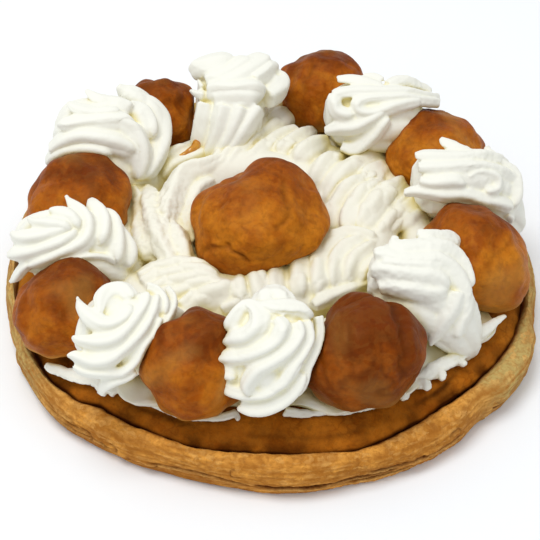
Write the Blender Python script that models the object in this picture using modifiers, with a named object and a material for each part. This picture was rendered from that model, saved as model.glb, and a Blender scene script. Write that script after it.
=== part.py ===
"""Saint-honore cake: a puff pastry base, a choux layer, piped cream and nine choux puffs.

Metres, +Z up.  The origin is the centre of the flat underside and the front faces -Y.
Every piece is named after the food that it is made of.
"""

import math

import bmesh
import bpy
from mathutils import Matrix, Vector, noise

MM = 0.001

# Driving dimensions
BASE_RADIUS = 115.0 * MM
BASE_RIM_HEIGHT = 15.5 * MM
BASE_FLOOR = 10.0 * MM
BASE_UNEVEN = 0.35 * MM
BASE_FOOT = 113.3 * MM
BASE_INNER = 105.2 * MM
CHOUX_RADIUS = 102.6 * MM
CHOUX_TOP = 20.0 * MM
CREAM_BED_RADIUS = 91.0 * MM
CREAM_BED_TOP = 23.5 * MM
CREAM_HILL_RADIUS = 64.0 * MM
CREAM_HILL_TOP = 31.0 * MM
PUFF_SEAT = 20.4 * MM
ROSETTE_SEAT = 22.0 * MM
GAP = 0.35 * MM
THINNING_GAP = 1.25 * MM

# Fineness of the solids
PASTRY_STEPS = 64
CHOUX_STEPS = 52
PUFF_SUBDIVISIONS = 3
CREAM_VOXEL = 1.2 * MM
ROSETTE_FACES = 580
FILLING_FACES = 3400

# Reach of the base's foot: azimuth (degrees), radius (mm)
FOOT_REACH = (
    (-180.0, 111.5),
    (-164.0, 111.9),
    (-156.0, 113.1),
    (-150.0, 115.7),
    (-145.0, 115.4),
    (-133.0, 115.7),
    (-126.0, 114.9),
    (-120.0, 113.9),
    (-110.0, 112.4),
    (-98.0, 112.6),
    (-87.0, 113.9),
    (-76.0, 114.1),
    (-69.0, 115.2),
    (-60.0, 114.9),
    (-51.0, 115.0),
    (-44.0, 113.6),
    (-37.0, 117.4),
    (-29.0, 118.4),
    (-23.0, 116.8),
    (-18.0, 113.8),
    (-12.0, 112.5),
    (0.0, 110.9),
    (8.0, 110.2),
    (16.0, 111.4),
    (24.0, 113.0),
    (50.0, 114.2),
    (85.0, 112.6),
    (120.0, 113.9),
    (155.0, 112.5),
    (180.0, 111.5),
)

# Where the rim meets the choux layer: azimuth (degrees), radius (mm)
SEAM_REACH = (
    (-180.0, 107.5),
    (-150.0, 110.0),
    (-141.0, 111.0),
    (-134.0, 109.4),
    (-127.0, 105.6),
    (-115.0, 105.2),
    (-104.0, 105.8),
    (-94.0, 104.2),
    (-84.0, 105.1),
    (-71.0, 107.2),
    (-60.0, 105.4),
    (-51.0, 104.9),
    (-39.0, 106.3),
    (-25.0, 107.5),
    (0.0, 107.0),
    (40.0, 105.5),
    (90.0, 105.0),
    (140.0, 105.5),
    (180.0, 107.5),
)

# Puffs: name, x, y, width, height (mm), turn (degrees)
PUFFS = (
    ("choux_puff_1", -81.5, 5.0, 48.0, 40.0, 10.0),
    ("choux_puff_2", -53.0, 70.5, 37.0, 35.0, 75.0),
    ("choux_puff_3", 21.5, 88.0, 40.5, 39.0, 140.0),
    ("choux_puff_4", 70.0, 44.5, 46.0, 38.0, 200.0),
    ("choux_puff_5", 82.5, -22.0, 45.0, 41.0, 255.0),
    ("choux_puff_6", 34.0, -74.5, 47.0, 42.0, 310.0),
    ("choux_puff_7", -28.0, -82.0, 42.5, 42.0, 30.0),
    ("choux_puff_8", -79.5, -53.0, 41.5, 35.5, 95.0),
)
CENTRE_PUFF = ("choux_puff_centre", -5.0, -11.5, 55.5, 41.0, 0.0)
CENTRE_PUFF_SEAT = 30.0 * MM

# Marks in the crust: azimuth, elevation, spread (degrees), depth as a share of the radius
PUFF_MARKS = {
    "choux_puff_1": (
        (7.0, -6.0, 26.0, 0.22),
        (27.0, 21.0, 26.0, -0.14),
        (91.0, 53.0, 26.0, -0.07),
        (134.0, 49.0, 26.0, -0.05),
        (165.0, 31.0, 26.0, 0.22),
        (-173.0, 6.0, 26.0, 0.13),
        (-153.0, -21.0, 26.0, -0.22),
        (-15.0, -31.0, 26.0, 0.08),
    ),
    "choux_puff_2": (
        (200.0, 10.0, 30.0, 0.08),
        (4.0, -2.0, 26.0, 0.15),
        (24.0, 22.0, 26.0, -0.15),
        (49.0, 43.0, 26.0, -0.09),
        (90.0, 53.0, 26.0, 0.20),
        (135.0, 46.0, 26.0, -0.05),
        (164.0, 27.0, 26.0, 0.08),
    ),
    "choux_puff_3": (
        (290.0, 20.0, 22.0, 0.07),
        (240.0, 60.0, 30.0, -0.05),
        (18.0, 26.0, 26.0, -0.07),
        (47.0, 46.0, 26.0, -0.05),
        (134.0, 43.0, 26.0, 0.12),
        (160.0, 22.0, 26.0, -0.05),
        (179.0, -2.0, 26.0, 0.07),
    ),
    "choux_puff_4": (
        (20.0, 30.0, 18.0, -0.08),
        (60.0, 55.0, 20.0, 0.06),
        (-5.0, 6.0, 26.0, 0.03),
        (16.0, 32.0, 26.0, 0.09),
        (131.0, 44.0, 26.0, 0.07),
        (156.0, 21.0, 26.0, 0.15),
        (175.0, -6.0, 26.0, 0.05),
        (-164.0, -32.0, 26.0, -0.03),
        (-24.0, -21.0, 26.0, 0.04),
    ),
    "choux_puff_5": (
        (-6.0, 7.0, 26.0, 0.05),
        (17.0, 30.0, 26.0, 0.18),
        (49.0, 45.0, 26.0, 0.06),
        (91.0, 48.0, 26.0, 0.03),
        (128.0, 37.0, 26.0, -0.08),
        (153.0, 16.0, 26.0, -0.06),
        (-89.0, -48.0, 26.0, 0.05),
        (-52.0, -37.0, 26.0, -0.15),
        (-27.0, -16.0, 26.0, -0.10),
    ),
    "choux_puff_6": (
        (285.0, 45.0, 16.0, 0.06),
        (330.0, 20.0, 18.0, -0.06),
        (180.0, 10.0, 35.0, 0.12),
        (22.0, 25.0, 26.0, -0.14),
        (52.0, 40.0, 26.0, 0.07),
        (91.0, 45.0, 26.0, -0.06),
        (127.0, 36.0, 26.0, 0.12),
        (155.0, 18.0, 26.0, 0.22),
        (178.0, -4.0, 26.0, 0.22),
        (-158.0, -25.0, 26.0, -0.08),
        (-128.0, -40.0, 26.0, 0.07),
        (-89.0, -45.0, 26.0, 0.06),
        (-25.0, -18.0, 26.0, 0.05),
    ),
    "choux_puff_7": (
        (0.0, 0.0, 48.0, 0.24),
        (230.0, 20.0, 24.0, -0.04),
        (26.0, 18.0, 26.0, -0.16),
        (91.0, 42.0, 26.0, -0.13),
        (129.0, 36.0, 26.0, 0.22),
        (-177.0, 2.0, 26.0, -0.14),
        (-154.0, -18.0, 26.0, 0.18),
        (-126.0, -34.0, 26.0, 0.05),
        (-89.0, -42.0, 26.0, -0.05),
        (-21.0, -21.0, 26.0, -0.12),
    ),
    "choux_puff_8": (
        (330.0, 20.0, 40.0, 0.14),
        (92.0, 48.0, 26.0, -0.16),
        (132.0, 45.0, 26.0, 0.03),
        (163.0, 29.0, 26.0, 0.11),
        (-174.0, 7.0, 26.0, -0.06),
        (-152.0, -18.0, 26.0, 0.07),
        (-88.0, -48.0, 26.0, 0.06),
        (-48.0, -45.0, 26.0, 0.17),
        (-17.0, -29.0, 26.0, 0.11),
    ),
    "choux_puff_centre": (
        (131.0, 37.0, 24.0, 0.16),
        (57.0, 42.0, 26.0, -0.08),
        (172.0, 8.0, 26.0, -0.06),
        (210.0, -27.0, 24.0, -0.10),
        (322.0, -25.0, 30.0, 0.07),
        (22.0, 29.0, 26.0, 0.05),
        (132.0, 48.0, 26.0, 0.05),
        (-158.0, -29.0, 26.0, 0.12),
        (-129.0, -48.0, 26.0, -0.10),
        (-89.0, -56.0, 26.0, 0.18),
        (-48.0, -48.0, 26.0, 0.09),
        (-20.0, -28.0, 26.0, 0.06),
    ),
}

# Rosettes: name, start x, y, z (mm), heading, pitch at the start and the end (degrees),
# length, radius (mm), twist (degrees)
ROSETTES = (
    ("cream_rosette_1", -92.0, 53.0, 42.5, -32.0, 14.0, -72.0, 56.0, 23.5, 60.0),
    ("cream_rosette_2", -102.0, -19.0, 38.0, -12.0, 24.0, -74.0, 56.0, 21.5, 75.0),
    ("cream_rosette_3", -69.5, -79.5, 37.0, 30.0, 34.0, -56.0, 46.0, 22.5, 90.0),
    ("cream_rosette_4", 0.0, -76.5, 25.0, 85.0, 110.0, 10.0, 38.0, 23.0, 110.0),
    ("cream_rosette_5", 38.0, -32.5, 41.5, -28.0, 12.0, -75.0, 56.0, 22.5, 40.0),
    ("cream_rosette_6", 53.0, 15.5, 43.0, -2.0, 12.0, -64.0, 60.0, 22.0, 60.0),
    ("cream_rosette_7", 21.5, 60.0, 43.0, -2.0, 10.0, -46.0, 68.0, 22.0, 60.0),
    ("cream_rosette_8", -20.5, 89.0, 40.5, -86.0, 12.0, -62.0, 54.0, 24.0, 15.0),
)
ROSETTE_LOBES = 10
ROSETTE_GROOVE = 0.27

# Girth of a rosette along its length: share of the length, share of the radius, curl (degrees)
ROSETTE_GIRTH = (
    (0.00, 0.22, -70.0),
    (0.03, 0.62, -48.0),
    (0.08, 0.90, -26.0),
    (0.15, 1.04, -8.0),
    (0.24, 1.05, 0.0),
    (0.38, 1.00, 0.0),
    (0.48, 0.95, 0.0),
    (0.58, 0.87, 0.0),
    (0.69, 0.76, 0.0),
    (0.80, 0.63, 0.0),
    (0.91, 0.48, 0.0),
    (1.00, 0.34, 0.0),
)

# Ropes of cream round the centre puff: reach, height, girth, start, end, twist (mm, degrees)
ROPE_CENTRE = (-2.0, -5.0)
ROPES = (
    (41.0, 27.5, 15.5, -150.0, 214.0, 24.0),
    (61.0, 27.0, 12.0, -40.0, 318.0, 16.0),
)
ROPE_POINTS = 44
ROPE_LOBES = 8
ROPE_GROOVE = 0.26

# Where the bed of cream spills outwards: azimuth, spread (degrees), distance (mm)
BED_SPILLS = (
    (-127.0, 14.0, 9.0),
    (-146.0, 8.0, 6.0),
    (-30.0, 12.0, 8.0),
    (-55.0, 10.0, 5.0),
)


def clear_scene():
    """Remove everything that the new scene starts with."""
    for item in list(bpy.data.objects):
        bpy.data.objects.remove(item, do_unlink=True)


def new_collection(name):
    """Add a collection to the scene."""
    collection = bpy.data.collections.new(name)
    bpy.context.scene.collection.children.link(collection)
    return collection


def food_material(name, colour, roughness):
    """A plain food finish."""
    material = bpy.data.materials.new(name)
    material.use_nodes = True
    shader = material.node_tree.nodes["Principled BSDF"]
    shader.inputs["Base Color"].default_value = (*colour, 1.0)
    shader.inputs["Roughness"].default_value = roughness
    shader.inputs["Metallic"].default_value = 0.0
    return material


def add_object(name, mesh, collection, material=None):
    """Place a mesh in a collection, shaded smooth."""
    item = bpy.data.objects.new(name, mesh)
    collection.objects.link(item)
    mesh.shade_smooth()
    if material is not None:
        mesh.materials.clear()
        mesh.materials.append(material)
    return item


def evaluated_mesh(item):
    """The mesh of an object after its modifiers."""
    bpy.context.view_layer.update()
    graph = bpy.context.evaluated_depsgraph_get()
    return bpy.data.meshes.new_from_object(item.evaluated_get(graph))


def apply_modifiers(item):
    """Keep the evaluated mesh and drop the modifiers."""
    mesh = evaluated_mesh(item)
    item.modifiers.clear()
    item.data = mesh


def wave(angle, seed, counts):
    """A seeded sum of whole waves round the cake, from about -1 to 1."""
    total = 0.0
    for count in counts:
        phase = math.tau * noise.cell(Vector((seed, count, 0.5)))
        total += math.sin(count * angle + phase)
    return total / math.sqrt(len(counts))


def ramp(value, low, high):
    """A smooth step from 0 at low to 1 at high."""
    share = min(max((value - low) / (high - low), 0.0), 1.0)
    return share * share * (3.0 - 2.0 * share)


def reach_at(angle, rows):
    """The reach at an angle, eased between rows of azimuth and radius, in metres."""
    azimuth = math.degrees(angle)
    for (start, first), (end, last) in zip(rows, rows[1:]):
        if azimuth <= end:
            return (first + (last - first) * ramp(azimuth, start, end)) * MM
    return rows[-1][1] * MM


def turned_mesh(name, profile, steps):
    """Turn a profile, which runs down the outer side, round the Z axis."""
    mesh = bpy.data.meshes.new(name)
    points = [(radius * MM, 0.0, height * MM) for radius, height in profile]
    edges = [(index, index + 1) for index in range(len(points) - 1)]
    mesh.from_pydata(points, edges, [])
    item = bpy.data.objects.new(name, mesh)
    bpy.context.scene.collection.objects.link(item)
    screw = item.modifiers.new("Turn", "SCREW")
    screw.steps = steps
    screw.render_steps = steps
    screw.use_merge_vertices = True
    screw.merge_threshold = 0.00001
    turned = evaluated_mesh(item)
    bpy.data.objects.remove(item, do_unlink=True)
    return turned


def pastry_point(point):
    """Move a point of the turned base to its uneven, torn and layered place."""
    angle = math.atan2(point.y, point.x)
    radius = math.hypot(point.x, point.y)
    edge = ramp(radius, BASE_RADIUS - 12.0 * MM, BASE_RADIUS - 6.0 * MM)
    height = point.z
    inner = reach_at(angle, SEAM_REACH) + GAP - BASE_INNER
    outer = reach_at(angle, FOOT_REACH) - BASE_FOOT + BASE_UNEVEN * wave(angle, 1.0, (8, 13))
    side = ramp(radius, BASE_RADIUS - 9.5 * MM, BASE_RADIUS - 3.0 * MM)
    shift = inner + (outer - inner) * side
    middle = math.exp(-((height - 7.0 * MM) / (4.0 * MM)) ** 2)
    shift += 0.6 * MM * middle * side * wave(angle, 2.0, (9, 14, 19))
    recess = ramp(angle, math.radians(-42.0), math.radians(-40.0)) * (1.0 - ramp(angle, 0.2, 0.6))
    shift -= 1.2 * MM * recess * side * (1.0 - ramp(height, 7.0 * MM, 12.0 * MM))
    lift = ramp(height, 2.0 * MM, 12.0 * MM) * edge
    rise = 1.1 * MM * wave(angle, 3.0, (2, 4, 7, 11)) + 1.2 * MM * abs(math.cos(angle)) ** 3
    rim = ramp(radius, BASE_RADIUS - 16.0 * MM, BASE_RADIUS - 12.0 * MM)
    scale = (radius + shift * rim) / radius if radius > 0.0 else 1.0
    return Vector((point.x * scale, point.y * scale, height + rise * lift))


def choux_point(point):
    """Move a point of the turned choux layer to its uneven place."""
    angle = math.atan2(point.y, point.x)
    radius = math.hypot(point.x, point.y)
    edge = ramp(radius, 93.0 * MM, 101.0 * MM)
    shift = reach_at(angle, SEAM_REACH) - 2.0 * GAP - CHOUX_RADIUS
    sag = 0.5 * MM * wave(angle, 5.0, (4, 7, 10)) * ramp(point.z, 12.0 * MM, 15.0 * MM)
    scale = (radius + shift * edge) / radius if radius > 0.0 else 1.0
    return Vector((point.x * scale, point.y * scale, point.z + sag * edge))


def pastry_base(collection, material):
    """The baked disc of puff pastry with its rolled rim and split side."""
    radius = BASE_RADIUS / MM
    rim = BASE_RIM_HEIGHT / MM
    floor = BASE_FLOOR / MM
    profile = (
        (0.0, floor),
        (radius - 15.0, floor),
        (radius - 11.6, floor + 0.2),
        (radius - 9.8, rim - 1.8),
        (radius - 7.0, rim),
        (radius - 3.4, rim - 0.6),
        (radius - 1.0, rim - 3.2),
        (radius, rim - 7.2),
        (radius - 0.4, rim - 10.0),
        (radius - 2.0, rim - 11.4),
        (radius - 1.2, rim - 12.4),
        (radius - 1.6, rim - 14.4),
        (radius - 3.0, 0.0),
        (0.0, 0.0),
    )
    mesh = turned_mesh("puff_pastry_base", profile, PASTRY_STEPS)
    for vertex in mesh.vertices:
        vertex.co = pastry_point(vertex.co)
    return add_object("puff_pastry_base", mesh, collection, material)


def choux_layer(collection, material):
    """The disc of choux on the base, whose lip slopes down to the rim."""
    radius = CHOUX_RADIUS / MM
    top = CHOUX_TOP / MM
    floor = (BASE_FLOOR + GAP) / MM
    profile = (
        (0.0, top),
        (radius - 13.0, top),
        (radius - 8.0, top - 1.0),
        (radius - 4.6, top - 2.6),
        (radius - 1.8, top - 4.8),
        (radius, top - 7.0),
        (radius - 1.0, top - 8.4),
        (radius - 4.6, floor),
        (0.0, floor),
    )
    mesh = turned_mesh("choux_layer", profile, CHOUX_STEPS)
    for vertex in mesh.vertices:
        vertex.co = choux_point(vertex.co)
    return add_object("choux_layer", mesh, collection, material)


def aim(azimuth, elevation):
    """The direction of an azimuth and an elevation in degrees."""
    turn = math.radians(azimuth)
    lift = math.radians(elevation)
    return Vector((math.cos(turn) * math.cos(lift), math.sin(turn) * math.cos(lift), math.sin(lift)))


def puff_swell(direction, seed, marks):
    """How far a puff's crust stands out along a direction, as a share of its radius."""
    seat = Vector((seed * 3.7, seed * 1.3, seed * 0.9))
    lumps = 0.12 * noise.noise(direction * 1.25 + seat)
    folds = 0.08 * noise.noise(direction * 2.6 + seat * 2.0)
    crease = 1.0 - abs(noise.noise(direction * 1.7 + seat * 3.0)) * 6.0
    swell = 1.0 + lumps + folds - 0.05 * max(crease, 0.0)
    for azimuth, elevation, spread, depth in marks:
        away = direction.angle(aim(azimuth, elevation)) / math.radians(spread)
        swell -= depth * math.exp(-away * away)
    return swell


def choux_puff(row, seed, seat, collection, material):
    """A baked choux puff: a lumpy ball with a flat seat."""
    name, x, y, width, height, turn = row
    marks = PUFF_MARKS.get(name, ())
    shell = bmesh.new()
    bmesh.ops.create_icosphere(shell, subdivisions=PUFF_SUBDIVISIONS, radius=1.0)
    spin = Matrix.Rotation(math.radians(turn), 3, "Z")
    bmesh.ops.rotate(shell, matrix=spin, verts=shell.verts)
    flat = 0.1 * height * MM
    for vertex in shell.verts:
        direction = vertex.co.normalized()
        place = direction * puff_swell(direction, seed, marks)
        place.x *= 0.5 * width * MM
        place.y *= 0.5 * width * MM
        place.z = max((0.5 + 0.5 * place.z) * height * MM, flat) - flat
        vertex.co = place + Vector((x * MM, y * MM, seat))
    mesh = bpy.data.meshes.new(name)
    shell.to_mesh(mesh)
    shell.free()
    return add_object(name, mesh, collection, material)


def star_profile(lobes, groove, tools):
    """A closed star outline of radius 1, as a piping nozzle has."""
    curve = bpy.data.curves.new("nozzle", "CURVE")
    curve.dimensions = "2D"
    spline = curve.splines.new("POLY")
    count = lobes * 8
    spline.points.add(count - 1)
    for index in range(count):
        angle = math.tau * index / count
        ridge = 1.0 - abs(math.sin(0.5 * lobes * angle))
        radius = 1.0 - groove * (1.0 - ridge)
        spline.points[index].co = (radius * math.cos(angle), radius * math.sin(angle), 0.0, 1.0)
    spline.use_cyclic_u = True
    item = bpy.data.objects.new("nozzle", curve)
    tools.objects.link(item)
    item.hide_render = True
    item.display_type = "WIRE"
    return item


def piped_mesh(name, path, nozzle, cyclic=False):
    """Sweep the nozzle along a path of (place, radius, tilt) and return a welded mesh."""
    curve = bpy.data.curves.new(name, "CURVE")
    curve.dimensions = "3D"
    curve.bevel_mode = "OBJECT"
    curve.bevel_object = nozzle
    curve.use_fill_caps = True
    curve.resolution_u = 5
    curve.twist_mode = "MINIMUM"
    spline = curve.splines.new("NURBS")
    spline.points.add(len(path) - 1)
    for point, (place, radius, tilt) in zip(spline.points, path):
        point.co = (*place, 1.0)
        point.radius = radius
        point.tilt = tilt
    spline.order_u = 4
    spline.use_endpoint_u = not cyclic
    spline.use_cyclic_u = cyclic
    item = bpy.data.objects.new(name, curve)
    bpy.context.scene.collection.objects.link(item)
    mesh = evaluated_mesh(item)
    bpy.data.objects.remove(item, do_unlink=True)
    weld(mesh)
    return mesh


def weld(mesh):
    """Join the loose caps of a mesh to its wall."""
    shell = bmesh.new()
    shell.from_mesh(mesh)
    bmesh.ops.remove_doubles(shell, verts=shell.verts, dist=0.00001)
    bmesh.ops.recalc_face_normals(shell, faces=shell.faces)
    shell.to_mesh(mesh)
    shell.free()


def shells_of(shell):
    """The connected shells of a bmesh, each a list of faces."""
    left = set(shell.faces)
    groups = []
    while left:
        stack = [left.pop()]
        group = []
        while stack:
            face = stack.pop()
            group.append(face)
            for edge in face.edges:
                for other in edge.link_faces:
                    if other in left:
                        left.remove(other)
                        stack.append(other)
        groups.append(group)
    return groups


def keep_largest_shell(mesh):
    """Drop loose scraps and shut hollows, and keep the outer shell."""
    shell = bmesh.new()
    shell.from_mesh(mesh)
    groups = sorted(shells_of(shell), key=lambda group: sum(face.calc_area() for face in group))
    for group in groups[:-1]:
        bmesh.ops.delete(shell, geom=group, context="FACES")
    shell.to_mesh(mesh)
    shell.free()


def fused_mesh(meshes, voxel):
    """Fuse overlapping closed meshes into one skin."""
    shell = bmesh.new()
    for mesh in meshes:
        shell.from_mesh(mesh)
        bpy.data.meshes.remove(mesh)
    joined = bpy.data.meshes.new("fused")
    shell.to_mesh(joined)
    shell.free()
    item = bpy.data.objects.new("fused", joined)
    bpy.context.scene.collection.objects.link(item)
    remesh = item.modifiers.new("Fuse", "REMESH")
    remesh.mode = "VOXEL"
    remesh.voxel_size = voxel
    apply_modifiers(item)
    mesh = item.data
    bpy.data.objects.remove(item, do_unlink=True)
    keep_largest_shell(mesh)
    return mesh


def trim_below(mesh, height):
    """Cut a mesh flat at a height and close the cut."""
    shell = bmesh.new()
    shell.from_mesh(mesh)
    everything = shell.verts[:] + shell.edges[:] + shell.faces[:]
    bmesh.ops.bisect_plane(
        shell,
        geom=everything,
        plane_co=(0.0, 0.0, height),
        plane_no=(0.0, 0.0, 1.0),
        clear_inner=True,
    )
    rim = [edge for edge in shell.edges if edge.is_boundary]
    bmesh.ops.holes_fill(shell, edges=rim, sides=0)
    bmesh.ops.triangulate(shell, faces=shell.faces[:])
    bmesh.ops.recalc_face_normals(shell, faces=shell.faces)
    shell.to_mesh(mesh)
    shell.free()
    keep_largest_shell(mesh)


def swollen_copy(item, gap, tools):
    """A cutter: the piece grown by a gap along its normals."""
    mesh = item.data.copy()
    normals = [vertex.normal.copy() for vertex in mesh.vertices]
    for vertex, normal in zip(mesh.vertices, normals):
        vertex.co += normal * gap
    cutter = bpy.data.objects.new("room_for_" + item.name, mesh)
    tools.objects.link(cutter)
    cutter.hide_render = True
    cutter.display_type = "WIRE"
    return cutter


def near(item, other, margin):
    """Whether the boxes of two pieces come within a margin of each other."""
    for axis in range(3):
        mine = [vertex.co[axis] for vertex in item.data.vertices]
        its = [vertex.co[axis] for vertex in other.data.vertices]
        if min(mine) > max(its) + margin or min(its) > max(mine) + margin:
            return False
    return True


def skin_area(mesh):
    """The area of a mesh's surface."""
    return sum(face.area for face in mesh.polygons)


def cut_once(item, cutter, solver):
    """The mesh of a piece after one cut."""
    cut = item.modifiers.new("Clear", "BOOLEAN")
    cut.operation = "DIFFERENCE"
    cut.solver = solver
    cut.object = cutter
    mesh = evaluated_mesh(item)
    item.modifiers.clear()
    return mesh


def cut_clear(item, neighbours, gap, tools):
    """Cut a piece back so that it stays a gap away from its neighbours."""
    for neighbour in neighbours:
        if not near(item, neighbour, gap):
            continue
        cutter = swollen_copy(neighbour, gap, tools)
        mesh = cut_once(item, cutter, "EXACT")
        if skin_area(mesh) < 0.7 * skin_area(item.data):
            mesh = cut_once(item, cutter, "MANIFOLD")
        item.data = mesh
        bpy.data.objects.remove(cutter, do_unlink=True)
    keep_largest_shell(item.data)


def thin_out(item, faces):
    """Reduce a piece to about the given number of triangles."""
    triangles = sum(len(face.vertices) - 2 for face in item.data.polygons)
    thin = item.modifiers.new("Thin", "DECIMATE")
    thin.ratio = min(1.0, faces / triangles)
    thin.use_collapse_triangulate = True
    apply_modifiers(item)
    keep_largest_shell(item.data)
    item.data.shade_smooth()


def rosette_path(row):
    """The way of the nozzle: from the start it bends steadily down from pitch to pitch."""
    _, x, y, z, heading, pitch_from, pitch_to, length, radius, twist = row
    level = Vector((math.cos(math.radians(heading)), math.sin(math.radians(heading)), 0.0))
    place = Vector((x, y, z)) * MM
    path = []
    last = 0.0
    for share, girth, curl in ROSETTE_GIRTH:
        middle = 0.5 * (share + last)
        pitch = math.radians(pitch_from + (pitch_to - pitch_from) * middle)
        way = level * math.cos(pitch) + Vector((0.0, 0.0, math.sin(pitch)))
        place = place + way * ((share - last) * length * MM)
        last = share
        path.append((place, girth * radius * MM, math.radians(twist * share + curl)))
    return path


def cream_rosette(row, nozzle, puffs, collection, tools, material):
    """A rosette: a star-shaped rope of cream piped up and over towards one side."""
    name = row[0]
    mesh = fused_mesh([piped_mesh(name, rosette_path(row), nozzle)], CREAM_VOXEL)
    trim_below(mesh, ROSETTE_SEAT)
    item = add_object(name, mesh, collection, material)
    cut_clear(item, puffs, THINNING_GAP, tools)
    thin_out(item, ROSETTE_FACES)
    cut_clear(item, puffs, GAP, tools)
    return item


def rope_path(row):
    """A rope of cream round the centre puff, twisted most in front and on its right."""
    reach, height, girth, start, end, twist = row
    path = []
    tilt = 0.0
    for index in range(ROPE_POINTS):
        share = index / (ROPE_POINTS - 1)
        degrees = start + (end - start) * share
        angle = math.radians(degrees)
        distance = reach + 2.0 * wave(angle, 6.0, (2, 3))
        place = Vector((
            ROPE_CENTRE[0] + distance * math.cos(angle),
            ROPE_CENTRE[1] + distance * math.sin(angle),
            height,
        )) * MM
        radius = (girth + 1.0 * wave(angle, 7.0, (3, 5))) * MM
        path.append((place, radius, math.radians(tilt)))
        turning = 1.0 - ramp(degrees, 40.0, 110.0)
        tilt += 4.0 + twist * turning
    return path


def bed_point(point):
    """Move a point of the turned bed of cream out to its ragged, spilt edge."""
    angle = math.atan2(point.y, point.x)
    radius = math.hypot(point.x, point.y)
    shift = 2.5 * wave(angle, 8.0, (5, 9, 16, 23))
    for azimuth, spread, distance in BED_SPILLS:
        away = (math.degrees(angle) - azimuth) / spread
        shift += distance * math.exp(-away * away)
    edge = ramp(radius, 72.0 * MM, 88.0 * MM)
    scale = (radius + shift * edge * MM) / radius if radius > 0.0 else 1.0
    return Vector((point.x * scale, point.y * scale, point.z))


def cream_bed_mesh():
    """The low bed of cream that the ropes and rosettes stand in."""
    floor = (CHOUX_TOP + GAP) / MM
    bed = CREAM_BED_RADIUS / MM
    hill = CREAM_HILL_RADIUS / MM
    profile = (
        (0.0, CREAM_HILL_TOP / MM),
        (hill * 0.8, CREAM_HILL_TOP / MM),
        (hill, CREAM_BED_TOP / MM + 3.0),
        (bed * 0.85, CREAM_BED_TOP / MM),
        (bed, CREAM_BED_TOP / MM - 0.8),
        (bed + 0.5, floor),
        (bed, floor - 3.0),
        (0.0, floor - 3.0),
    )
    mesh = turned_mesh("bed", profile, 96)
    for vertex in mesh.vertices:
        vertex.co = bed_point(vertex.co)
    return mesh


def cream_filling(nozzle, pieces, collection, tools, material):
    """The cream under and between the pieces, with the ropes round the centre puff."""
    meshes = [cream_bed_mesh()]
    for row in ROPES:
        meshes.append(piped_mesh("rope", rope_path(row), nozzle))
    mesh = fused_mesh(meshes, CREAM_VOXEL)
    trim_below(mesh, CHOUX_TOP + GAP)
    item = add_object("cream_filling", mesh, collection, material)
    cut_clear(item, pieces, THINNING_GAP, tools)
    thin_out(item, FILLING_FACES)
    cut_clear(item, pieces, GAP, tools)
    return item


def build_cake():
    """Build every piece of the cake."""
    clear_scene()
    cake = new_collection("saint_honore_cake")
    tools = new_collection("cutters")
    pastry = food_material("puff_pastry", (0.60, 0.33, 0.12), 0.75)
    layer = food_material("choux_layer", (0.30, 0.11, 0.03), 0.7)
    crust = food_material("choux_crust", (0.42, 0.15, 0.03), 0.5)
    cream = food_material("whipped_cream", (0.90, 0.88, 0.80), 0.45)
    pastry_base(cake, pastry)
    choux_layer(cake, layer)
    puffs = []
    for seed, row in enumerate(PUFFS, start=1):
        puffs.append(choux_puff(row, seed, PUFF_SEAT, cake, crust))
    puffs.append(choux_puff(CENTRE_PUFF, len(PUFFS) + 1, CENTRE_PUFF_SEAT, cake, crust))
    nozzle = star_profile(ROSETTE_LOBES, ROSETTE_GROOVE, tools)
    rosettes = []
    for row in ROSETTES:
        rosettes.append(cream_rosette(row, nozzle, puffs, cake, tools, cream))
    rope_nozzle = star_profile(ROPE_LOBES, ROPE_GROOVE, tools)
    cream_filling(rope_nozzle, puffs + rosettes, cake, tools, cream)
    bpy.data.objects.remove(nozzle, do_unlink=True)
    bpy.data.objects.remove(rope_nozzle, do_unlink=True)


build_cake()
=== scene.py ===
"""Looks of a saint-honore cake: layered pastry, baked choux puffs and piped cream.

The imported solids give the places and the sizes.  Every piece is built in their frame, in
metres with +Z up and the front towards -Y, from named sizes in millimetres.
"""

import logging
import math
from collections.abc import Mapping, Sequence
from dataclasses import dataclass, field
from enum import Enum

import bmesh
import bpy
import numpy as np
from mathutils import Matrix, Vector, kdtree, noise


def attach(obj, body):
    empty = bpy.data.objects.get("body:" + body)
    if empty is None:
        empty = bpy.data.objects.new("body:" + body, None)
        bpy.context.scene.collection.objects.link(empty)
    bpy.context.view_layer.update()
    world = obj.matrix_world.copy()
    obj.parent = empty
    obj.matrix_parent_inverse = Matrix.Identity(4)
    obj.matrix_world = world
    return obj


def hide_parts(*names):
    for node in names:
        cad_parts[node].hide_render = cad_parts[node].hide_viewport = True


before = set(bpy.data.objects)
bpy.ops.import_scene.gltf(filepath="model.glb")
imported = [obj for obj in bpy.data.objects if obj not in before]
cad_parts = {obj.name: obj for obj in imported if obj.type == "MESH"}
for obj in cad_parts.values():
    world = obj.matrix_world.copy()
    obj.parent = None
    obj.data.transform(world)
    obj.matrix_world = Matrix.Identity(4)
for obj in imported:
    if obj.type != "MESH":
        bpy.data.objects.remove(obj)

MM = 0.001
BODY = "root"
LOG = logging.getLogger("saint_honore")

Colour = tuple[float, float, float, float]
Route = tuple[tuple[float, float, float, float], ...] | np.ndarray
Trace = tuple[tuple[float, ...], ...]


class Slot(Enum):
    """The record's material slots."""

    PASTRY = "puff_pastry"
    LAYER = "choux_layer"
    CRUST = "choux_crust"
    CREAM = "whipped_cream"


def ramp(value: np.ndarray, low: float, high: float) -> np.ndarray:
    """Rise smoothly from 0 at low to 1 at high.

    Args:
        value: The numbers to judge.
        low: Where the rise starts.
        high: Where it ends.

    Returns:
        Shares from 0 to 1.
    """
    share = np.clip((value - low) / (high - low), 0.0, 1.0)
    return share * share * (3.0 - 2.0 * share)


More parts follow.
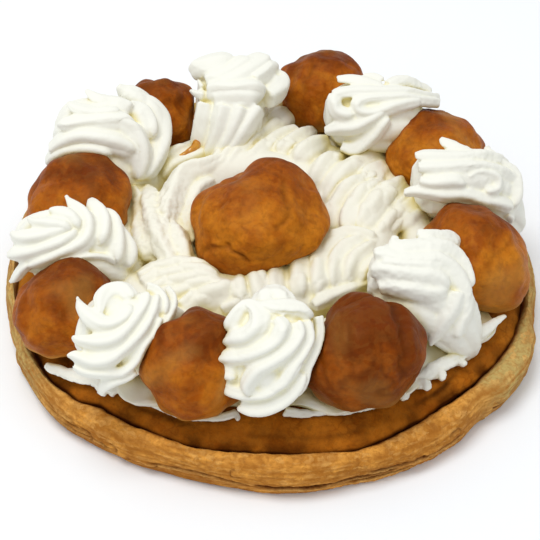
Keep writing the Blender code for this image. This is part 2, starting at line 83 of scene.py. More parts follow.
def bell(value: np.ndarray, middle: float | np.ndarray, width: float) -> np.ndarray:
    """Give a soft bump of height 1.

    Args:
        value: The numbers to judge.
        middle: Where the bump is highest.
        width: Its reach to either side.

    Returns:
        Shares from 0 to 1.
    """
    return np.exp(-(((value - middle) / width) ** 2))


def wave(angle: np.ndarray, seed: float, counts: Sequence[int]) -> np.ndarray:
    """Add whole waves round the cake, as the solids do.

    Args:
        angle: Angles in radians.
        seed: Picks the waves' starts.
        counts: How many of each wave fit round the cake.

    Returns:
        Heights from about -1 to 1.
    """
    total = np.zeros_like(np.asarray(angle, float))
    for count in counts:
        start = math.tau * noise.cell(Vector((seed, count, 0.5)))
        total = total + np.sin(count * angle + start)
    return total / math.sqrt(len(counts))


def lattice(cells: np.ndarray, seed: int) -> np.ndarray:
    """Give every whole-number cell its own fixed number.

    Args:
        cells: Whole numbers, three to a row.
        seed: Picks another set of numbers.

    Returns:
        One number from -1 to 1 for each row.
    """
    mixed = cells[:, 0] * 73856093 ^ cells[:, 1] * 19349663 ^ cells[:, 2] * 83492791
    mixed = (mixed ^ seed * 2654435761) & 0xFFFFFFFF
    mixed = ((mixed ^ (mixed >> 15)) * 2246822519) & 0xFFFFFFFF
    mixed = ((mixed ^ (mixed >> 13)) * 3266489917) & 0xFFFFFFFF
    return (mixed ^ (mixed >> 16)) / 2147483648.0 - 1.0


def lumps(points: np.ndarray, size: float, seed: int) -> np.ndarray:
    """Give smooth uneven lumps through space.

    Args:
        points: Places, three numbers in the last direction.
        size: The distance from lump to lump, in the places' unit.
        seed: Picks other lumps.

    Returns:
        Heights from about -1 to 1.
    """
    scaled = np.asarray(points, float).reshape(-1, 3) / size
    base = np.floor(scaled).astype(np.int64)
    part = scaled - base
    eased = part**3 * (part * (part * 6.0 - 15.0) + 10.0)
    total = np.zeros(len(scaled))
    for corner in np.ndindex(2, 2, 2):
        step = np.array(corner)
        cells = base + step
        away = part - step
        slope = sum(away[:, axis] * lattice(cells, seed * 3 + axis) for axis in range(3))
        total += slope * np.prod(np.where(step == 1, eased, 1.0 - eased), axis=1)
    return 1.6 * total.reshape(np.shape(points)[:-1])


def layered_lumps(points: np.ndarray, size: float, seed: int, layers: int = 3) -> np.ndarray:
    """Add lumps of ever smaller size.

    Args:
        points: Places, three numbers in the last direction.
        size: The distance between the largest lumps.
        seed: Picks other lumps.
        layers: How many sizes are added.

    Returns:
        Heights from about -1 to 1.
    """
    sizes = [lumps(points, size / 2.0**layer, seed + 17 * layer) for layer in range(layers)]
    return sum(part / 2.0**layer for layer, part in enumerate(sizes)) / 1.5


@dataclass(frozen=True)
class Relief:
    """Uneven lumps of one size and height, flattened along Z by a stretch."""

    size: float
    height: float
    seed: int
    stretch: float = 1.0


def relief(place: np.ndarray, parts: Sequence[Relief], seed: int = 0) -> np.ndarray:
    """Add lumps of several sizes.

    Args:
        place: Places, three numbers in the last direction.
        parts: The lumps.
        seed: What their seeds are counted on from.

    Returns:
        Heights, in the unit that the parts have theirs in.
    """
    total = 0.0
    for part in parts:
        stretched = place * np.array([1.0, 1.0, part.stretch])
        total = total + part.height * lumps(stretched, part.size, part.seed + seed)
    return total


def smooth_route(rows: np.ndarray, count: int) -> np.ndarray:
    """Lay a smooth line through rows of numbers.

    Args:
        rows: The rows that the line passes.
        count: How many rows come back.

    Returns:
        Rows evenly spread along the line.
    """
    padded = np.vstack([2.0 * rows[0] - rows[1], rows, 2.0 * rows[-1] - rows[-2]])
    place = np.linspace(0.0, len(rows) - 1.000001, count)
    start = np.floor(place).astype(int)
    part = (place - start)[:, None]
    before, here, there, after = (padded[start + step] for step in range(4))
    linear = there - before
    square = 2.0 * before - 5.0 * here + 4.0 * there - after
    cube = 3.0 * (here - there) + after - before
    return 0.5 * (2.0 * here + linear * part + square * part**2 + cube * part**3)


def carried_frames(centres: np.ndarray) -> tuple[np.ndarray, np.ndarray, np.ndarray]:
    """Carry a side and a lift direction along a line without turning them.

    Args:
        centres: Places along the line.

    Returns:
        The way along the line, the side and the lift at every place.
    """
    way = np.gradient(centres, axis=0)
    way /= np.linalg.norm(way, axis=1, keepdims=True) + 1e-9
    upright = (0.0, 0.0, 1.0) if abs(way[0][2]) < 0.9 else (1.0, 0.0, 0.0)
    side = np.cross(way[0], upright)
    sides = []
    for step in way:
        side = side - step * (side @ step)
        side = side / np.linalg.norm(side)
        sides.append(side)
    return way, np.array(sides), np.cross(np.array(sides), way)


def ring_ways(angle: np.ndarray, side: np.ndarray, lift: np.ndarray) -> np.ndarray:
    """Give the directions outwards round a line, by place along it and by angle."""
    across = np.cos(angle)[..., None] * side[:, None, :]
    return across + np.sin(angle)[..., None] * lift[:, None, :]


@dataclass
class Skin:
    """The points and faces of one piece, with the shares that its finish reads."""

    points: np.ndarray
    faces: list[list[int]]
    shares: dict[str, np.ndarray] = field(default_factory=dict)
    crest: np.ndarray = field(default_factory=lambda: np.empty((0, 4)))

    def as_object(self, name: str, material: bpy.types.Material) -> bpy.types.Object:
        """Make the piece.

        Args:
            name: The piece's name.
            material: Its finish.

        Returns:
            The new object, shaded smooth, with its faces outwards.
        """
        mesh = bpy.data.meshes.new(name)
        mesh.from_pydata(self.points.tolist(), [], self.faces)
        for label, values in self.shares.items():
            share = mesh.attributes.new(label, "FLOAT", "POINT")
            share.data.foreach_set("value", values.astype(np.float32).ravel())
        shell = bmesh.new()
        shell.from_mesh(mesh)
        bmesh.ops.recalc_face_normals(shell, faces=shell.faces)
        shell.to_mesh(mesh)
        shell.free()
        mesh.shade_smooth()
        mesh.materials.append(material)
        piece = bpy.data.objects.new(name, mesh)
        bpy.context.scene.collection.objects.link(piece)
        return piece


def tube_faces(rings: int, around: int) -> list[list[int]]:
    """List the faces of a tube that a point closes at either end.

    Args:
        rings: How many rings the tube has.
        around: How many points each ring has.

    Returns:
        Four corners for each wall face and three for each end face.
    """
    ring, spoke = np.meshgrid(np.arange(rings - 1), np.arange(around), indexing="ij")
    here = ring * around + spoke
    beside = ring * around + (spoke + 1) % around
    walls = np.stack([here, beside, beside + around, here + around], -1).reshape(-1, 4)
    near = np.arange(around)
    ahead = (near + 1) % around
    far = (rings - 1) * around
    first = np.full(around, rings * around)
    start = np.stack([first, ahead, near], -1)
    end = np.stack([first + 1, far + near, far + ahead], -1)
    return walls.tolist() + start.tolist() + end.tolist()


def closed_tube(rings: np.ndarray, shares: Mapping[str, np.ndarray] | None = None) -> Skin:
    """Close rings of points into a skin.

    Args:
        rings: Places by ring and by point round the ring.
        shares: Shares by ring and by point round the ring.

    Returns:
        The skin, with one more point at either end.
    """
    count, around = rings.shape[:2]
    ends = np.array([rings[0].mean(axis=0), rings[-1].mean(axis=0)])
    flat = {}
    for label, values in (shares or {}).items():
        full = np.broadcast_to(values, (count, around))
        flat[label] = np.append(full.reshape(-1), [full[0].mean(), full[-1].mean()])
    return Skin(np.vstack([rings.reshape(-1, 3), ends]), tube_faces(count, around), flat)


def turned(outline: np.ndarray, around: int) -> tuple[np.ndarray, np.ndarray, np.ndarray]:
    """Turn an outline of radius and height round the Z axis.

    Args:
        outline: Rows of radius and height.
        around: How many steps the turn has.

    Returns:
        The angles, and the radius and the height of every point.
    """
    angle = np.linspace(-math.pi, math.pi, around, endpoint=False)[None, :]
    return angle, np.repeat(outline[:, :1], around, 1), np.repeat(outline[:, 1:], around, 1)


def round_place(angle: np.ndarray, radius: np.ndarray, height: np.ndarray) -> np.ndarray:
    """Give the places of points known by angle, radius and height."""
    return np.stack([np.cos(angle) * radius, np.sin(angle) * radius, height], axis=-1)


def place_piece(
    skin: Skin, name: str, node: str, material: bpy.types.Material
) -> bpy.types.Object:
    """Put a piece in the frame in the place of a solid.

    Args:
        skin: The piece's points and faces, in millimetres.
        name: The piece's name.
        node: The solid that the piece stands for.
        material: The finish.

    Returns:
        The piece.
    """
    skin.points = skin.points * MM
    piece = skin.as_object(name, material)
    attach(piece, BODY)
    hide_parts(node)
    LOG.info("%s stands for %s with %d faces", name, node, len(skin.faces))
    return piece


class Board:
    """Places and links the nodes of one material or node group."""

    def __init__(self, tree: bpy.types.NodeTree) -> None:
        """Keep the tree that the nodes go in."""
        self.tree = tree

    def fill(self, node: bpy.types.Node, sockets: Mapping[str | int, object]) -> bpy.types.Node:
        """Link or set the inputs of a node.

        Args:
            node: The node.
            sockets: What each input is linked or set to.

        Returns:
            The same node.
        """
        for label, value in sockets.items():
            if isinstance(value, bpy.types.NodeSocket):
                self.tree.links.new(value, node.inputs[label])
            else:
                node.inputs[label].default_value = value
        return node

    def put(
        self, kind: str, sockets: Mapping[str | int, object] | None = None, **settings: object
    ) -> bpy.types.Node:
        """Place one node.

        Args:
            kind: Blender's name for the node.
            sockets: What each input is linked or set to.
            **settings: The node's own settings.

        Returns:
            The new node.
        """
        node = self.tree.nodes.new(kind)
        for label, value in settings.items():
            setattr(node, label, value)
        return self.fill(node, sockets or {})

    def share(self, label: str) -> bpy.types.NodeSocket:
        """Read a share that the mesh carries."""
        return self.put("ShaderNodeAttribute", attribute_name=label).outputs["Fac"]

    def sum(self, operation: str, first: object, second: object = 0.0) -> bpy.types.NodeSocket:
        """Work out one sum."""
        return self.put("ShaderNodeMath", {0: first, 1: second}, operation=operation).outputs[0]

    def blend(self, share: object, first: object, second: object) -> bpy.types.NodeSocket:
        """Mix two colours by a share."""
        sockets = {0: share, 6: first, 7: second}
        return self.put("ShaderNodeMix", sockets, data_type="RGBA").outputs[2]

    def tint(
        self, colour: object, share: object, amount: float, other: Colour
    ) -> bpy.types.NodeSocket:
        """Draw a colour towards another one by a part of a share."""
        return self.blend(self.sum("MULTIPLY", share, amount), colour, other)

    def shift(self, operation: str, first: object, second: object) -> bpy.types.NodeSocket:
        """Work out one sum of places."""
        node = self.put("ShaderNodeVectorMath", {0: first, 1: second}, operation=operation)
        return node.outputs[0]

    def spread(self, value: object, low: float, high: float) -> bpy.types.NodeSocket:
        """Stretch a value.

        Args:
            value: The value.
            low: What gives 0.
            high: What gives 1.

        Returns:
            The stretched value.
        """
        sockets = {0: value, 1: low, 2: high}
        node = self.put("ShaderNodeMapRange", sockets, interpolation_type="SMOOTHSTEP")
        return node.outputs[0]

    def use(self, group: bpy.types.NodeTree, sockets: Mapping[str, object]) -> bpy.types.Node:
        """Place a node group with its own values.

        Args:
            group: The node group.
            sockets: What each of its inputs is linked or set to.

        Returns:
            The new node.
        """
        node = self.tree.nodes.new("ShaderNodeGroup")
        node.node_tree = group
        return self.fill(node, sockets)


def new_group(
    name: str, inputs: Mapping[str, float], outputs: Sequence[str]
) -> tuple[bpy.types.NodeTree, Board, bpy.types.Node, bpy.types.Node]:
    """Start a node group whose inputs and outputs are plain numbers.

    Args:
        name: The group's name.
        inputs: Each input's name and usual value.
        outputs: The outputs' names.

    Returns:
        The group, its board, and the nodes that hold its inputs and its outputs.
    """
    group = bpy.data.node_groups.new(name, "ShaderNodeTree")
    for label, value in inputs.items():
        socket = group.interface.new_socket(label, in_out="INPUT", socket_type="NodeSocketFloat")
        socket.default_value = value
    for label in outputs:
        group.interface.new_socket(label, in_out="OUTPUT", socket_type="NodeSocketFloat")
    board = Board(group)
    return group, board, board.put("NodeGroupInput"), board.put("NodeGroupOutput")


class SharedEffects:
    """Node groups that several finishes use."""

    SPOTS = {"Detail": 3.0, "Roughness": 0.6, "Distortion": 0.5}
    SPOT_EDGES = {"Blotch": (0.34, 0.68), "Freckle": (0.4, 0.72)}
    GRAIN_DETAIL = 3.0
    HOLLOW_EDGES = (0.15, 0.85)
    BEND_SCALE = 260.0
    BEND = (0.005, 0.005, 0.005)
    LINE_EDGES = (0.2, 1.0)
    PATCH_EDGES = (0.5, 0.66)
    FLAKE_SCALE = 330.0

    def __init__(self) -> None:
        """Build every group once."""
        self.mottle = self.build_mottle()
        self.grain = self.build_grain()
        # hollow: the ambient-occlusion mask that the finishes paint shade by
        self.hollow = self.build_hollow_shade()
        self.crackle = self.build_crackle()

    def build_mottle(self) -> bpy.types.NodeTree:
        """Build the uneven browning of baked dough: wide blotches and small freckles.

        Returns:
            The node group.
        """
        inputs = {"Blotch Scale": 90.0, "Freckle Scale": 420.0, "Seed": 0.0}
        group, board, given, result = new_group("Oven Mottle", inputs, tuple(self.SPOT_EDGES))
        place = board.put("ShaderNodeTexCoord").outputs["Object"]
        for label, edges in self.SPOT_EDGES.items():
            sockets = {
                "Vector": place,
                "W": given.outputs["Seed"],
                "Scale": given.outputs[label + " Scale"],
                **self.SPOTS,
            }
            spots = board.put("ShaderNodeTexNoise", sockets, noise_dimensions="4D")
            board.fill(result, {label: board.spread(spots.outputs[0], *edges)})
        return group

    def build_grain(self) -> bpy.types.NodeTree:
        """Build the small unevenness of a food's surface, as a height.

        Returns:
            The node group.
        """
        inputs = {"Coarse Scale": 350.0, "Fine Scale": 1400.0, "Fine Share": 0.4}
        group, board, given, result = new_group("Food Grain", inputs, ("Height",))
        place = board.put("ShaderNodeTexCoord").outputs["Object"]
        heights = []
        for label in ("Coarse Scale", "Fine Scale"):
            scale = given.outputs[label]
            sockets = {"Vector": place, "Scale": scale, "Detail": self.GRAIN_DETAIL}
            heights.append(board.put("ShaderNodeTexNoise", sockets).outputs[0])
        fine = board.sum("MULTIPLY", heights[1], given.outputs["Fine Share"])
        board.fill(result, {"Height": board.sum("ADD", heights[0], fine)})
        return group

    def build_hollow_shade(self) -> bpy.types.NodeTree:
        """Build a mask of narrow hollows, such as where two pieces meet, from ambient occlusion, for
        painted shade.

        Returns:
            The node group.
        """
        group, board, given, result = new_group("Narrow Hollow", {"Reach": 0.004}, ("Hollow Shade",))
        sockets = {"Distance": given.outputs["Reach"]}
        light = board.put("ShaderNodeAmbientOcclusion", sockets, samples=6).outputs["AO"]
        hollow = board.spread(board.sum("SUBTRACT", 1.0, light), *self.HOLLOW_EDGES)
        board.fill(result, {"Hollow Shade": hollow})
        return group

    def build_crackle(self) -> bpy.types.NodeTree:
        """Build patches of fine cracks in a dry crust, drawn out along the layers.

        Returns:
            The node group.
        """
        inputs = {"Scale": 150.0, "Flatten": 4.0, "Width": 0.09, "Patch Scale": 60.0}
        group, board, given, result = new_group("Crust Crackle", inputs, ("Crack", "Flake"))
        place = board.put("ShaderNodeTexCoord").outputs["Object"]
        stretch = {"X": 1.0, "Y": 1.0, "Z": given.outputs["Flatten"]}
        stretch = board.put("ShaderNodeCombineXYZ", stretch).outputs[0]
        flat = board.shift("MULTIPLY", place, stretch)
        sockets = {"Vector": place, "Scale": self.BEND_SCALE, "Detail": 2.0}
        bend = board.put("ShaderNodeTexNoise", sockets).outputs["Color"]
        bent = board.shift("ADD", flat, board.shift("MULTIPLY", bend, self.BEND))
        sockets = {"Vector": bent, "Scale": given.outputs["Scale"]}
        cells = board.put("ShaderNodeTexVoronoi", sockets, feature="DISTANCE_TO_EDGE")
        near = board.sum("DIVIDE", cells.outputs["Distance"], given.outputs["Width"])
        line = board.sum("SUBTRACT", 1.0, board.spread(near, *self.LINE_EDGES))
        sockets = {"Vector": place, "Scale": given.outputs["Patch Scale"], "Detail": 2.0}
        patch = board.put("ShaderNodeTexNoise", sockets).outputs[0]
        crack = board.sum("MULTIPLY", line, board.spread(patch, *self.PATCH_EDGES))
        tint = board.put("ShaderNodeTexVoronoi", {"Vector": bent, "Scale": self.FLAKE_SCALE})
        flake = board.put("ShaderNodeSeparateColor", {0: tint.outputs["Color"]}).outputs[0]
        board.fill(result, {"Crack": crack, "Flake": flake})
        return group


MOTTLE_SOCKETS = ("Blotch Scale", "Freckle Scale", "Seed")


@dataclass(frozen=True)
class Finish:
    """What every finish has: a name, gloss and grain."""

    name: str
    roughness: float = 0.5
    gloss: float = 0.1
    grain: tuple[float, float, float] = (400.0, 1600.0, 0.5)
    relief: float = 0.3
    grain_depth: float = 0.0007

    def start(
        self, effects: SharedEffects
    ) -> tuple[bpy.types.Material, Board, bpy.types.Node]:
        """Start the material with its gloss and its grain.

        Args:
            effects: The shared node groups.

        Returns:
            The material, its board and its shader.
        """
        material = bpy.data.materials.new(self.name)
        material.use_nodes = True
        board = Board(material.node_tree)
        coarse, fine, share = self.grain
        sockets = {"Coarse Scale": coarse, "Fine Scale": fine, "Fine Share": share}
        height = board.use(effects.grain, sockets).outputs["Height"]
        sockets = {"Strength": self.relief, "Distance": self.grain_depth, "Height": height}
        normal = board.put("ShaderNodeBump", sockets).outputs[0]
        shader = material.node_tree.nodes["Principled BSDF"]
        gloss = {"Roughness": self.roughness, "Specular IOR Level": self.gloss}
        board.fill(shader, {"Normal": normal, **gloss})
        return material, board, shader


@dataclass(frozen=True)
class CreamFinish(Finish):
    """Whipped cream: soft white, with the warm light held in its grooves painted in as colour, and painted
    shade in its narrow hollows.
    """

    body: Colour = (0.82, 0.815, 0.735, 1.0)
    # groove: the colour of the painted light held in the grooves
    groove: Colour = (0.91, 0.89, 0.66, 1.0)
    # hollow: the colour of the painted shade in narrow hollows
    hollow: Colour = (0.82, 0.74, 0.40, 1.0)
    hollow_shade_reach: float = 0.006

    def build(self, effects: SharedEffects) -> bpy.types.Material:
        """Make the material.

        Args:
            effects: The shared node groups.

        Returns:
            The material.
        """
        material, board, shader = self.start(effects)
        # painted light: the grooves are coloured brighter and warmer, for the light held in the cream
        colour = board.blend(board.share("groove"), self.body, self.groove)
        # painted shade: narrow hollows, found by ambient occlusion, are drawn towards the hollow colour
        hollow = board.use(effects.hollow, {"Reach": self.hollow_shade_reach}).outputs["Hollow Shade"]
        colour = board.blend(hollow, colour, self.hollow)
        board.fill(shader, {"Base Color": colour})
        return material


@dataclass(frozen=True)
class CrustFinish(Finish):
    """Baked choux crust: mottled browns, painted shade in its creases and narrow hollows, and a pale foot.
    """

    golden: Colour = (0.54, 0.178, 0.010, 1.0)
    brown: Colour = (0.32, 0.072, 0.003, 1.0)
    umber: Colour = (0.15, 0.028, 0.0015, 1.0)
    # dark: for the freckles, and for the painted shade in creases and hollows
    dark: Colour = (0.07, 0.014, 0.001, 1.0)
    pale: Colour = (0.57, 0.31, 0.07, 1.0)
    mottle: tuple[float, float, float] = (95.0, 420.0, 3.0)
    blotch: float = 0.75
    freckle: float = 0.32
    brown_edges: tuple[float, float] = (-0.1, 1.3)
    umber_edges: tuple[float, float] = (0.9, 2.0)
    crackle: float = 150.0
    flatten: float = 2.0
    flaky: float = 0.06
    cracked: float = 0.18
    # painted shade in narrow hollows: how far the occlusion looks and how much dark is mixed in
    hollow_shade_reach: float = 0.003
    hollow: float = 0.5

    def build(self, effects: SharedEffects) -> bpy.types.Material:
        """Make the material.

        Args:
            effects: The shared node groups.

        Returns:
            The material.
        """
        material, board, shader = self.start(effects)
        mottle = board.use(effects.mottle, dict(zip(MOTTLE_SOCKETS, self.mottle)))
        wide = board.sum("MULTIPLY", mottle.outputs["Blotch"], self.blotch)
        bake = board.sum("ADD", wide, board.share("bake"))
        colour = board.blend(board.spread(bake, *self.brown_edges), self.golden, self.brown)
        colour = board.blend(board.spread(bake, *self.umber_edges), colour, self.umber)
        colour = board.tint(colour, mottle.outputs["Freckle"], self.freckle, self.dark)
        colour = board.blend(board.share("pale"), colour, self.pale)
        crackle = board.use(effects.crackle, {"Scale": self.crackle, "Flatten": self.flatten})
        colour = board.tint(colour, crackle.outputs["Flake"], self.flaky, self.pale)
        colour = board.tint(colour, crackle.outputs["Crack"], self.cracked, self.umber)
        # painted shade: creases are drawn towards dark
        colour = board.blend(board.share("crease"), colour, self.dark)
        # painted shade: narrow hollows, found by ambient occlusion, are drawn towards dark
        hollow = board.use(effects.hollow, {"Reach": self.hollow_shade_reach}).outputs["Hollow Shade"]
        colour = board.tint(colour, hollow, self.hollow, self.dark)
        board.fill(shader, {"Base Color": colour})
        return material


@dataclass(frozen=True)
class PastryFinish(Finish):
    """Layered pastry: thin streaks along the side, paler to the left and the right."""

    golden: Colour = (0.83, 0.38, 0.068, 1.0)
    straw: Colour = (0.54, 0.405, 0.14, 1.0)
    fresh: Colour = (0.82, 0.45, 0.13, 1.0)
    toasted: Colour = (0.36, 0.125, 0.014, 1.0)
    # dark: for the fine cracks, and for the painted shade in creases and hollows
    dark: Colour = (0.15, 0.038, 0.004, 1.0)
    mottle: tuple[float, float, float] = (110.0, 620.0, 8.0)
    toast: float = 0.95
    crackle: float = 130.0
    patches: float = 90.0
    flake_edges: tuple[float, float] = (0.4, 1.0)
    flaky: float = 0.5
    streaky: float = 0.85
    freckle: float = 0.55
    cracked: float = 0.18
    # painted shade in narrow hollows: how far the occlusion looks and how much dark is mixed in
    hollow_shade_reach: float = 0.002
    hollow: float = 0.45

    def build(self, effects: SharedEffects) -> bpy.types.Material:
        """Make the material.

        Args:
            effects: The shared node groups.

        Returns:
            The material.
        """
        material, board, shader = self.start(effects)
        mottle = board.use(effects.mottle, dict(zip(MOTTLE_SOCKETS, self.mottle)))
        colour = board.tint(self.golden, mottle.outputs["Blotch"], self.toast, self.toasted)
        colour = board.blend(board.share("straw"), colour, self.straw)
        crackle = board.use(effects.crackle, {"Scale": self.crackle, "Patch Scale": self.patches})
        flake = board.spread(crackle.outputs["Flake"], *self.flake_edges)
        colour = board.tint(colour, flake, self.flaky, self.fresh)
        colour = board.blend(board.share("layer"), colour, self.fresh)
        colour = board.tint(colour, board.share("streak"), self.streaky, self.toasted)
        colour = board.tint(colour, mottle.outputs["Freckle"], self.freckle, self.toasted)
        colour = board.tint(colour, crackle.outputs["Crack"], self.cracked, self.dark)
        # painted shade: creases are drawn towards dark
        colour = board.blend(board.share("crease"), colour, self.dark)
        # painted shade: narrow hollows, found by ambient occlusion, are drawn towards dark
        hollow = board.use(effects.hollow, {"Reach": self.hollow_shade_reach}).outputs["Hollow Shade"]
        colour = board.tint(colour, hollow, self.hollow, self.dark)
        board.fill(shader, {"Base Color": colour})
        return material


@dataclass(frozen=True)
class CaramelFinish(Finish):
    """Amber caramel with a wet shine."""

    amber: Colour = (0.60, 0.27, 0.008, 1.0)
    burnt: Colour = (0.42, 0.14, 0.005, 1.0)
    mottle: tuple[float, float, float] = (260.0, 900.0, 5.0)
    coat: float = 0.6
    coat_roughness: float = 0.08

    def build(self, effects: SharedEffects) -> bpy.types.Material:
        """Make the material.

        Args:
            effects: The shared node groups.

        Returns:
            The material.
        """
        material, board, shader = self.start(effects)
        mottle = board.use(effects.mottle, dict(zip(MOTTLE_SOCKETS, self.mottle)))
        colour = board.blend(mottle.outputs["Blotch"], self.amber, self.burnt)
        shine = {"Coat Weight": self.coat, "Coat Roughness": self.coat_roughness}
        board.fill(shader, {"Base Color": colour, **shine})
        return material


class Finishes:
    """Every finish of the cake."""

    CREAM_GRAIN = (260.0, 1500.0, 0.35)
    CRUST_GRAIN = (700.0, 2600.0, 0.6)
    LAYER_GRAIN = (600.0, 2400.0, 0.6)
    PASTRY_GRAIN = (600.0, 2200.0, 0.7)

    def __init__(self) -> None:
        """Build the materials."""
        rosette = CreamFinish("piped_cream", 0.5, 0.15, self.CREAM_GRAIN, 0.12)
        centre = CreamFinish(
            "filling_cream", 0.5, 0.15, self.CREAM_GRAIN, 0.15,
            # its groove and hollow colours are painted light and painted shade, as for the piped cream
            body=(0.82, 0.80, 0.69, 1.0),
            groove=(0.84, 0.80, 0.54, 1.0),
            hollow=(0.72, 0.62, 0.27, 1.0),
            hollow_shade_reach=0.007,
        )
        layer = CrustFinish(
            "baked_layer", 0.75, 0.03, self.LAYER_GRAIN, 0.6,
            golden=(0.43, 0.13, 0.008, 1.0),
            brown=(0.26, 0.062, 0.003, 1.0),
            umber=(0.15, 0.03, 0.0015, 1.0),
            dark=(0.05, 0.011, 0.001, 1.0),
            pale=(0.50, 0.20, 0.025, 1.0),
            crackle=190.0, flaky=0.2, cracked=0.3,
        )
        crust = CrustFinish("baked_choux", 0.45, 0.05, self.CRUST_GRAIN, 0.35)
        pastry = PastryFinish("layered_pastry", 0.75, 0.08, self.PASTRY_GRAIN, 0.9)
        effects = SharedEffects()
        self.rosette = rosette.build(effects)
        self.centre = centre.build(effects)
        self.crust = crust.build(effects)
        self.layer = layer.build(effects)
        self.pastry = pastry.build(effects)
        self.caramel = CaramelFinish("amber_caramel", 0.25, 0.3, relief=0.05).build(effects)


@dataclass(frozen=True)
class Reach:
    """Radii round the cake, given as rows of azimuth and radius and eased between them."""

    rows: tuple[tuple[float, float], ...]

    def at(self, angle: np.ndarray) -> np.ndarray:
        """Give the radius at every angle.

        Args:
            angle: Angles in radians.

        Returns:
            Radii in millimetres.
        """
        azimuth = np.degrees(angle)
        total = np.full(azimuth.shape, self.rows[0][1])
        for (start, first), (end, last) in zip(self.rows, self.rows[1:]):
            eased = first + (last - first) * ramp(azimuth, start, end)
            total = np.where(azimuth >= start, eased, total)
        return total


# Radii of the disc's side and of the seam between rim and choux layer, as rows of azimuth in
# degrees and radius in millimetres, and how ragged the seam is
FOOT_REACH = Reach(
    (
        (-180, 111.5), (-164, 111.9), (-156, 113.1), (-150, 115.7), (-145, 115.4),
        (-133, 115.7), (-126, 114.9), (-120, 113.9), (-110, 112.4), (-98, 112.6), (-87, 113.9),
        (-76, 114.1), (-69, 115.2), (-60, 114.9), (-51, 115), (-44, 113.6), (-37, 117.4),
        (-29, 118.4), (-23, 116.8), (-18, 113.8), (-12, 112.5), (0, 110.9), (8, 110.2),
        (16, 111.4), (24, 113), (50, 114.2), (85, 112.6), (120, 113.9), (155, 112.5),
        (180, 111.5),
    )
)
SEAM_REACH = Reach(
    (
        (-180, 107.5), (-150, 110), (-141, 111), (-134, 109.4), (-127, 105.6),
        (-115, 105.2), (-104, 105.8), (-94, 104.2), (-84, 105.1), (-71, 107.2), (-60, 105.4),
        (-51, 104.9), (-39, 106.3), (-25, 107.5), (0, 107), (40, 105.5), (90, 105),
        (140, 105.5), (180, 107.5),
    )
)
SEAM_RELIEF = (Relief(11.0, 0.5, 93, 0.0), Relief(3.5, 0.35, 94, 0.0))


def seam_reach(place: np.ndarray, angle: np.ndarray) -> np.ndarray:
    """Give the ragged radius where the rim meets the choux layer.

    Args:
        place: Places in millimetres.
        angle: Their angles in radians.

    Returns:
        Radii in millimetres.
    """
    return SEAM_REACH.at(angle) + relief(place, SEAM_RELIEF)


@dataclass(frozen=True)
class Split:
    """A split between the layers of the pastry's side."""

    start: float
    end: float
    level: tuple[float, float]
    depth: float
    width: float

    def cut(self, azimuth: np.ndarray, height: np.ndarray, wander: np.ndarray) -> np.ndarray:
        """Work out how deep the split is.

        Args:
            azimuth: Azimuths in degrees.
            height: Heights in millimetres.
            wander: How far the split's line strays from its level.

        Returns:
            Depths in millimetres.
        """
        along = (azimuth - self.start) / (self.end - self.start)
        here = ramp(along, -0.06, 0.12) * (1.0 - ramp(along, 0.88, 1.06))
        line = self.level[0] + (self.level[1] - self.level[0]) * along + wander
        return self.depth * here * bell(height, line, self.width)


@dataclass(frozen=True)
class Blister:
    """A shallow blister on the pastry's side, with a cracked edge along a part of its ring."""

    azimuth: float
    level: float
    width: float
    lift: float = 0.5
    opening: float = 90.0

    WALL_RADIUS = 112.0
    UPRIGHT = 1.5
    EDGE_WIDTH = 0.45
    EDGE_DEPTH = 0.5
    FLAT_SHARE = 0.4

    def press(
        self, azimuth: np.ndarray, height: np.ndarray, stray: np.ndarray
    ) -> tuple[np.ndarray, np.ndarray]:
        """Work out the blister.

        Args:
            azimuth: Azimuths in degrees.
            height: Heights in millimetres.
            stray: How far the ring strays from a round one, in millimetres.

        Returns:
            How far the side moves out, and how deep in the cracked edge each point is.
        """
        across = np.radians(azimuth - self.azimuth) * self.WALL_RADIUS
        above = self.UPRIGHT * (height - self.level)
        away = np.hypot(across, above) + stray
        toward = np.cos(np.arctan2(above, across) - math.radians(self.opening))
        edge = bell(away, self.width, self.EDGE_WIDTH) * ramp(toward, -0.5, 0.3)
        raised = 1.0 - ramp(away, self.FLAT_SHARE * self.width, self.width)
        return self.lift * raised - self.EDGE_DEPTH * edge, edge


